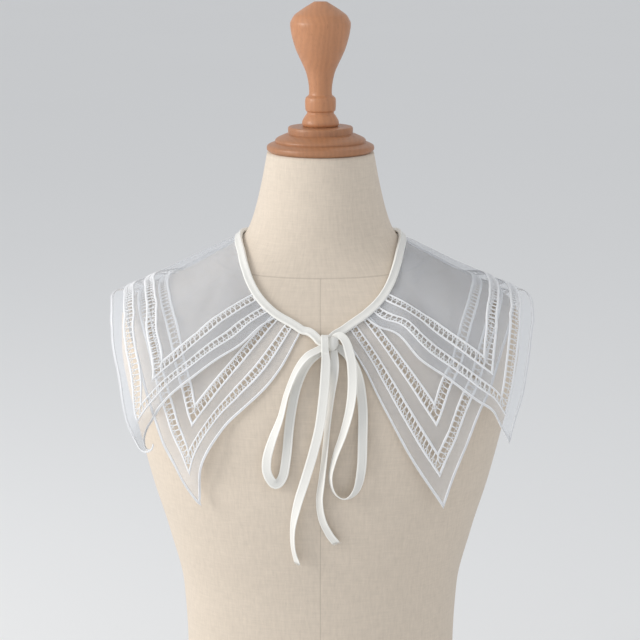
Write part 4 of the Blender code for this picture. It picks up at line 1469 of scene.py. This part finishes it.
def binding_path(count):
    """The neckline of the collar and the two leads into the knot, at the binding's middle."""
    neck = neckline()[::6]
    risen = LEFT_RISE * (1 - soft_step(distances(neck), 0, LEFT_SPAN))
    surface, normal = lay_on_surface(neck[:, :3] - neck[:, 3:] * risen[:, None])
    middle = surface + normal * BINDING_RISE
    left, right = in_front(TIE_LEADS["left"]), in_front(TIE_LEADS["right"])
    path = outside_knot(smooth_path(np.vstack([left[::-1], middle, right]), OUTLINE_POINTS), "binding")
    return at_distance(path, np.linspace(0, path_length(path), count))


def frayed_end(path, turns, seed):
    """A tuft of threads at the end of a tape: short tubes that fan out along its last direction."""
    across, out = path_frames(path, gradient_at(path))
    along = unit(path[-1] - path[-4])
    side = across[-1] * math.cos(turns[-1]) + out[-1] * math.sin(turns[-1])
    rng = np.random.default_rng(seed)
    count = FRAY_THREADS
    place = np.linspace(-FRAY_SPREAD, FRAY_SPREAD, count) * TAPE_WIDTH
    fan = rng.normal(0, 0.22, count) + np.linspace(-0.35, 0.35, count)
    length = FRAY_LENGTHS[0] + FRAY_LENGTHS[1] * rng.random(count)
    lift = rng.normal(0, 0.15, count)
    t = np.linspace(-0.6, 1, 4)
    way = along + side * fan[:, None] + out[-1] * lift[:, None]
    start = path[-1] + side * place[:, None] + out[-1] * rng.normal(0, 0.0003, count)[:, None]
    paths = start[:, None] + way[:, None] * (length[:, None] * t)[..., None]
    normals = np.broadcast_to(out[-1], paths.shape)
    radii = np.broadcast_to(np.linspace(*FRAY_RADII, 4), paths.shape[:2])
    points, faces = thread_tubes(paths, normals, radii)
    return points, faces, np.zeros((len(points), 2))


def knot_lobe(centre, size, lean, folds):
    """A lobe of the knot: an oval whose radius swells by a sine of the turn round its long axis,
    which leans in the upright plane."""
    rings, around = 32, 48
    lift = np.linspace(0.04, np.pi - 0.04, rings)[:, None]
    turn = turns_round(around)[None, :]
    z = np.cos(lift) * np.ones_like(turn)
    swell = 1 + folds * np.sin(3 * turn + 1.5 * z) * np.sin(lift)
    x, y = np.sin(lift) * np.cos(turn) * swell, np.sin(lift) * np.sin(turn) * swell
    ball = np.stack([x, y, z], -1) * np.array(size) / 2
    points, faces = tube_mesh(KNOT_CENTRE + centre + turned_about(ball, 0, 2, lean))
    # The upright place is squeezed, so that the lobes lie mostly in the tape's middle and take its painted
    # shade, clear of the painted highlight of its rims
    uv = (points - KNOT_CENTRE)[:, [0, 2]] * (1.0, 0.3)
    return points, outward(points, faces), uv


def knot_strap(sizes):
    """The strap of tape over the front of the knot, on its way down into the long tail: the tape's
    own section across its route, level and square to it."""
    path = KNOT_CENTRE + smooth_path(STRAP_ROUTE, 60)
    along = unit(np.gradient(path, axis=0))
    across = unit(np.array((1.0, 0.0, 0.0)) - along * (along @ (1.0, 0.0, 0.0))[:, None])
    out = unit(np.cross(across, along))
    out = out * np.sign((out * (path - KNOT_CENTRE)).sum(-1))[:, None]
    side, rise = tape_section(GROOVE_DEPTHS["tape"])
    rings = path[:, None] + across[:, None] * (STRAP_SHARE * TAPE_WIDTH / 2 * side)[None, :, None]
    rings = rings + out[:, None] * (STRAP_HALF * sizes.tape * rise)[None, :, None]
    points, faces = tube_mesh(rings)
    uv = np.stack(np.broadcast_arrays(distances(path)[:, None], side * TAPE_WIDTH / 2), -1)
    return points, outward(points, faces), uv.reshape(-1, 2)


# The operators


def use_sizes():
    """The sizes set in the scene."""
    return bpy.context.scene.collar_sizes


def use_colours():
    """The colours set in the scene."""
    return bpy.context.scene.collar_colours


class COLLAR_OT_stage(Operator):
    """Makes the floor, the soft lights and the camera."""

    bl_idname = "collar.stage"
    bl_label = "Studio"

    def execute(self, context):
        stage = context.scene.collar_stage
        self.add_floor(stage)
        self.add_camera(context)
        for name, row in LIGHTS.items():
            self.add_light(f"{name}_light", *row, getattr(stage, name))
        world = bpy.data.worlds.new("soft_sky")
        context.scene.world = world
        world.use_nodes = True
        sky = world.node_tree.nodes["Background"]
        sky.inputs["Color"].default_value = SKY_COLOUR
        sky.inputs["Strength"].default_value = stage.sky
        return {"FINISHED"}

    def add_floor(self, stage):
        """A wide flat grid of squares, just under the base."""
        count = FLOOR_SQUARES + 1
        side = np.linspace(-FLOOR_REACH, FLOOR_REACH, count)
        x, y = np.meshgrid(side, side, indexing="ij")
        points = np.stack([x, y, np.full_like(x, -FLOOR_DROP)], -1).reshape(-1, 3)
        finish = floor_finish("pale_floor", stage.floor)
        floor = add_mesh("floor", finish, points, grid_quads(count, count))

    def add_camera(self, context):
        """The camera of the view given at the top."""
        camera = bpy.data.cameras.new("camera")
        camera.sensor_width = SENSOR
        camera.lens = LENS_PIXELS * SENSOR / PICTURE
        camera.shift_x = (PICTURE / 2 - PICTURE_CENTRE[0]) / PICTURE
        camera.shift_y = (PICTURE_CENTRE[1] - PICTURE / 2) / PICTURE
        camera.clip_end = FAR_CLIP
        thing = bpy.data.objects.new("camera", camera)
        thing.location = EYE
        thing.rotation_euler = (math.radians(90.0 - TILT_DOWN), 0.0, 0.0)
        context.scene.collection.objects.link(thing)
        context.scene.camera = thing
        context.scene.view_settings.view_transform = "Standard"

    def add_light(self, name, place, size, colour, power):
        """A square soft light that faces the collar."""
        light = bpy.data.lights.new(name, "AREA")
        light.size = size
        light.energy = power
        light.color = colour
        thing = bpy.data.objects.new(name, light)
        thing.location = place
        aim = np.array(LIGHT_AIM) - np.array(place)
        thing.rotation_euler = (math.acos(-aim[2] / np.linalg.norm(aim)), 0.0, math.atan2(-aim[0], aim[1]))
        bpy.context.scene.collection.objects.link(thing)


class COLLAR_OT_bow(Operator):
    """Makes the four runs of tape of the bow, and its knot."""

    bl_idname = "collar.bow"
    bl_label = "Bow"

    def execute(self, context):
        sizes = use_sizes()
        finish = tape_finish("bow_tape", use_colours())
        for number, name in enumerate(TIE_ROUTES):
            path, turns = tie_path(name, 150)
            widths = pinched(path, "tape")
            body = swept_tape(path, turns, widths, sizes.tape, GROOVE_DEPTHS["tape"], number + 1.0)
            parts = [body, frayed_end(path, turns, number)] if name in FREE_ENDS else [body]
            piece = add_mesh(f"{name}_tape", finish, *joined(parts))
            finished(piece, "ivory_tape", name)
        self.add_knot(finish, sizes)
        return {"FINISHED"}

    def add_knot(self, finish, sizes):
        """The lobes of the knot and its strap, as one piece."""
        lobes = [knot_lobe(*row) for row in KNOT_LOBES]
        piece = add_mesh("bow_knot_tape", finish, *joined([*lobes, knot_strap(sizes)]))
        finished(piece, "ivory_tape", "bow_knot")


class COLLAR_OT_binding(Operator):
    """Makes the folded binding of the neckline."""

    bl_idname = "collar.binding"
    bl_label = "Binding"

    def execute(self, context):
        path = binding_path(420)
        finish = tape_finish("binding_tape", use_colours())
        turns, widths = np.zeros(len(path)), pinched(path, "binding")
        depth = GROOVE_DEPTHS["binding"]
        mesh = swept_tape(path, turns, widths, use_sizes().binding, depth, 5.0)
        piece = add_mesh("binding_tape", finish, *mesh)
        finished(piece, "ivory_tape", "neck_binding")
        return {"FINISHED"}


class COLLAR_OT_layers(Operator):
    """Makes both layers of organza, with their stitched lines, edges and openwork."""

    bl_idname = "collar.layers"
    bl_label = "Organza and openwork"

    def execute(self, context):
        sizes, colours = use_sizes(), use_colours()
        sheer = organza_finish("sheer_organza", colours)
        satin = satin_finish("satin_stitch", colours)
        bundles = bundle_finish("thread_bundles", colours)
        for name, rest in RESTS.items():
            layer = Layer(name, rest)
            panel, cut = build_panel(layer, sheer, sizes.organza)
            trims = [self.add_edge(layer, satin, sizes)]
            for band in BANDS:
                trims += self.add_band(layer, band, satin, bundles, sizes)
        return {"FINISHED"}

    def add_edge(self, layer, satin, sizes):
        """The stitched edge round a layer: a thin ridge on the outline and a wide one inside it."""
        lines = [
            satin_line(layer, first, width, sizes.satin_height, 1.0 + k, EDGE_SINK)
            for k, (first, width) in enumerate(EDGE_LINES)
        ]
        piece = add_mesh(f"{layer.name}_edge_stitch", satin, *joined(lines))
        return finished(piece, "white_lace", f"{layer.name}_edging")

    def add_band(self, layer, band, satin, bundles, sizes):
        """A band of openwork: a satin line on each side of its slot, and the drawn threads in it."""
        first, last = BANDS[band]
        starts = (first, last - sizes.satin_width)
        lines = [
            satin_line(layer, start, sizes.satin_width, sizes.satin_height, 2.0 + k)
            for k, start in enumerate(starts)
        ]
        stitched = add_mesh(f"{layer.name}_satin_{band}", satin, *joined(lines))
        finished(stitched, "white_lace", f"{layer.name}_lace_{band}")
        drawn = add_mesh(f"{layer.name}_openwork_{band}", bundles, *openwork(layer, band, sizes))
        finished(drawn, "white_lace")
        return [stitched, drawn]


class COLLAR_OT_form(Operator):
    """Makes the padded linen body of the form."""

    bl_idname = "collar.form"
    bl_label = "Dress form"

    def execute(self, context):
        finish = linen_finish("natural_linen", use_colours())
        piece = add_mesh("form_linen", finish, *self.body())
        finished(piece, "linen", "form_torso")
        return {"FINISHED"}

    def body(self):
        """Rings of the sections' ovals, |x/a|^n + |y/b|^n = 1, up to the top of the neck. The lowest
        one is drawn in by a quarter circle, so that the padded edge is round."""
        heights = np.linspace(0.0, FORM_TOP, FORM_RINGS)
        lowest = BASE_ROUND * (1 - np.cos(np.linspace(0, BASE_TURN, BASE_RINGS)))
        heights = np.concatenate([lowest, heights[2:]])
        half_width, front, back, power, _ = form_section(heights)
        rise = np.clip(1 - heights / BASE_ROUND, 0, 1)
        drawn = BASE_ROUND * (1 - np.sqrt(1 - rise**2))
        middle, depth = middle_and_depth(front, back)
        depth = depth - drawn
        turn = turns_round(FORM_AROUND)
        across = flattened(np.sin(turn), 2 / power[:, None])
        along = flattened(np.cos(turn), 2 / power[:, None])
        x = (half_width - drawn)[:, None] * across
        y = middle[:, None] + depth[:, None] * along
        rings = np.stack([x, y, np.broadcast_to(heights[:, None], x.shape)], -1)
        points, faces = tube_mesh(rings)
        round_way = (turn - np.pi)[None, :] * 0.5 * (half_width + depth)[:, None]
        uv = np.stack(np.broadcast_arrays(round_way, heights[:, None]), -1).reshape(-1, 2)
        return points, outward(points, faces), uv


class COLLAR_OT_wood(Operator):
    """Makes the turned disc and the knob on the neck."""

    bl_idname = "collar.wood"
    bl_label = "Turned wood"

    def execute(self, context):
        colours = use_colours()
        foot = FORM_TOP + WOOD_GAP
        knob_foot = foot + CAP_PROFILE[-1][1] + WOOD_GAP
        for name, profile, height in (
            ("form_cap", CAP_PROFILE, foot),
            ("form_finial", FINIAL_PROFILE, knob_foot),
        ):
            finish = wood_finish(f"{name}_wood", colours, WOOD_TONES[name])
            piece = add_mesh(f"{name}_turned", finish, *self.turned(profile, height))
            piece.data.set_sharp_from_angle(angle=math.radians(CUT_ANGLE))
            finished(piece, "turned_wood", name)
        return {"FINISHED"}

    def turned(self, rows, foot):
        """A profile carried round the neck's axis: smooth curves between its cut edges."""
        rows = np.array(rows)
        cuts = [0, *np.flatnonzero(rows[1:-1, 2]) + 1, len(rows) - 1]
        ends, between = PROFILE_POINTS
        stretches = []
        for first, last in zip(cuts[:-1], cuts[1:]):
            stretch = np.column_stack([rows[first : last + 1, :2], np.zeros(last - first + 1)])
            stretches.append(smooth_path(stretch, ends + between * (last - first))[:, :2])
        profile = np.vstack([s[:-1] for s in stretches] + [stretches[-1][-1:]])
        turn = turns_round(WOOD_AROUND)
        x = profile[:, :1] * np.cos(turn)
        y = profile[:, :1] * np.sin(turn) + NECK_AXIS_Y
        z = np.broadcast_to(profile[:, 1:] + foot, x.shape)
        points, faces = tube_mesh(np.stack([x, y, z], -1))
        return points, outward(points, faces)


class COLLAR_PT_panel(Panel):
    """The collar's pieces, sizes and colours."""

    bl_idname = "COLLAR_PT_panel"
    bl_label = "Organza collar"
    bl_space_type = "VIEW_3D"
    bl_region_type = "UI"
    bl_category = "Collar"

    def draw(self, context):
        for operator in OPERATORS:
            self.layout.operator(operator.bl_idname)
        for group in GROUPS:
            box = self.layout.box()
            settings = getattr(context.scene, group)
            for name in settings.__annotations__:
                box.prop(settings, name)


GROUPS = {"collar_sizes": CollarSizes, "collar_colours": CollarColours, "collar_stage": CollarStage}
OPERATORS = (
    COLLAR_OT_stage,
    COLLAR_OT_bow,
    COLLAR_OT_form,
    COLLAR_OT_layers,
    COLLAR_OT_binding,
    COLLAR_OT_wood,
)


def register():
    """Adds the settings, the operators and the panel to Blender."""
    for group in GROUPS.values():
        bpy.utils.register_class(group)
    for name, group in GROUPS.items():
        setattr(bpy.types.Scene, name, PointerProperty(type=group))
    for operator in OPERATORS:
        bpy.utils.register_class(operator)
    bpy.utils.register_class(COLLAR_PT_panel)


def unregister():
    """Takes them out again."""
    bpy.utils.unregister_class(COLLAR_PT_panel)
    for operator in reversed(OPERATORS):
        bpy.utils.unregister_class(operator)
    for name, group in GROUPS.items():
        delattr(bpy.types.Scene, name)
        bpy.utils.unregister_class(group)


def main():
    """Builds the stage and the pieces."""
    register()
    bpy.ops.collar.stage()
    bpy.ops.collar.bow()
    bpy.ops.collar.form()
    bpy.ops.collar.layers()
    bpy.ops.collar.binding()
    bpy.ops.collar.wood()


if __name__ == "__main__":
    main()
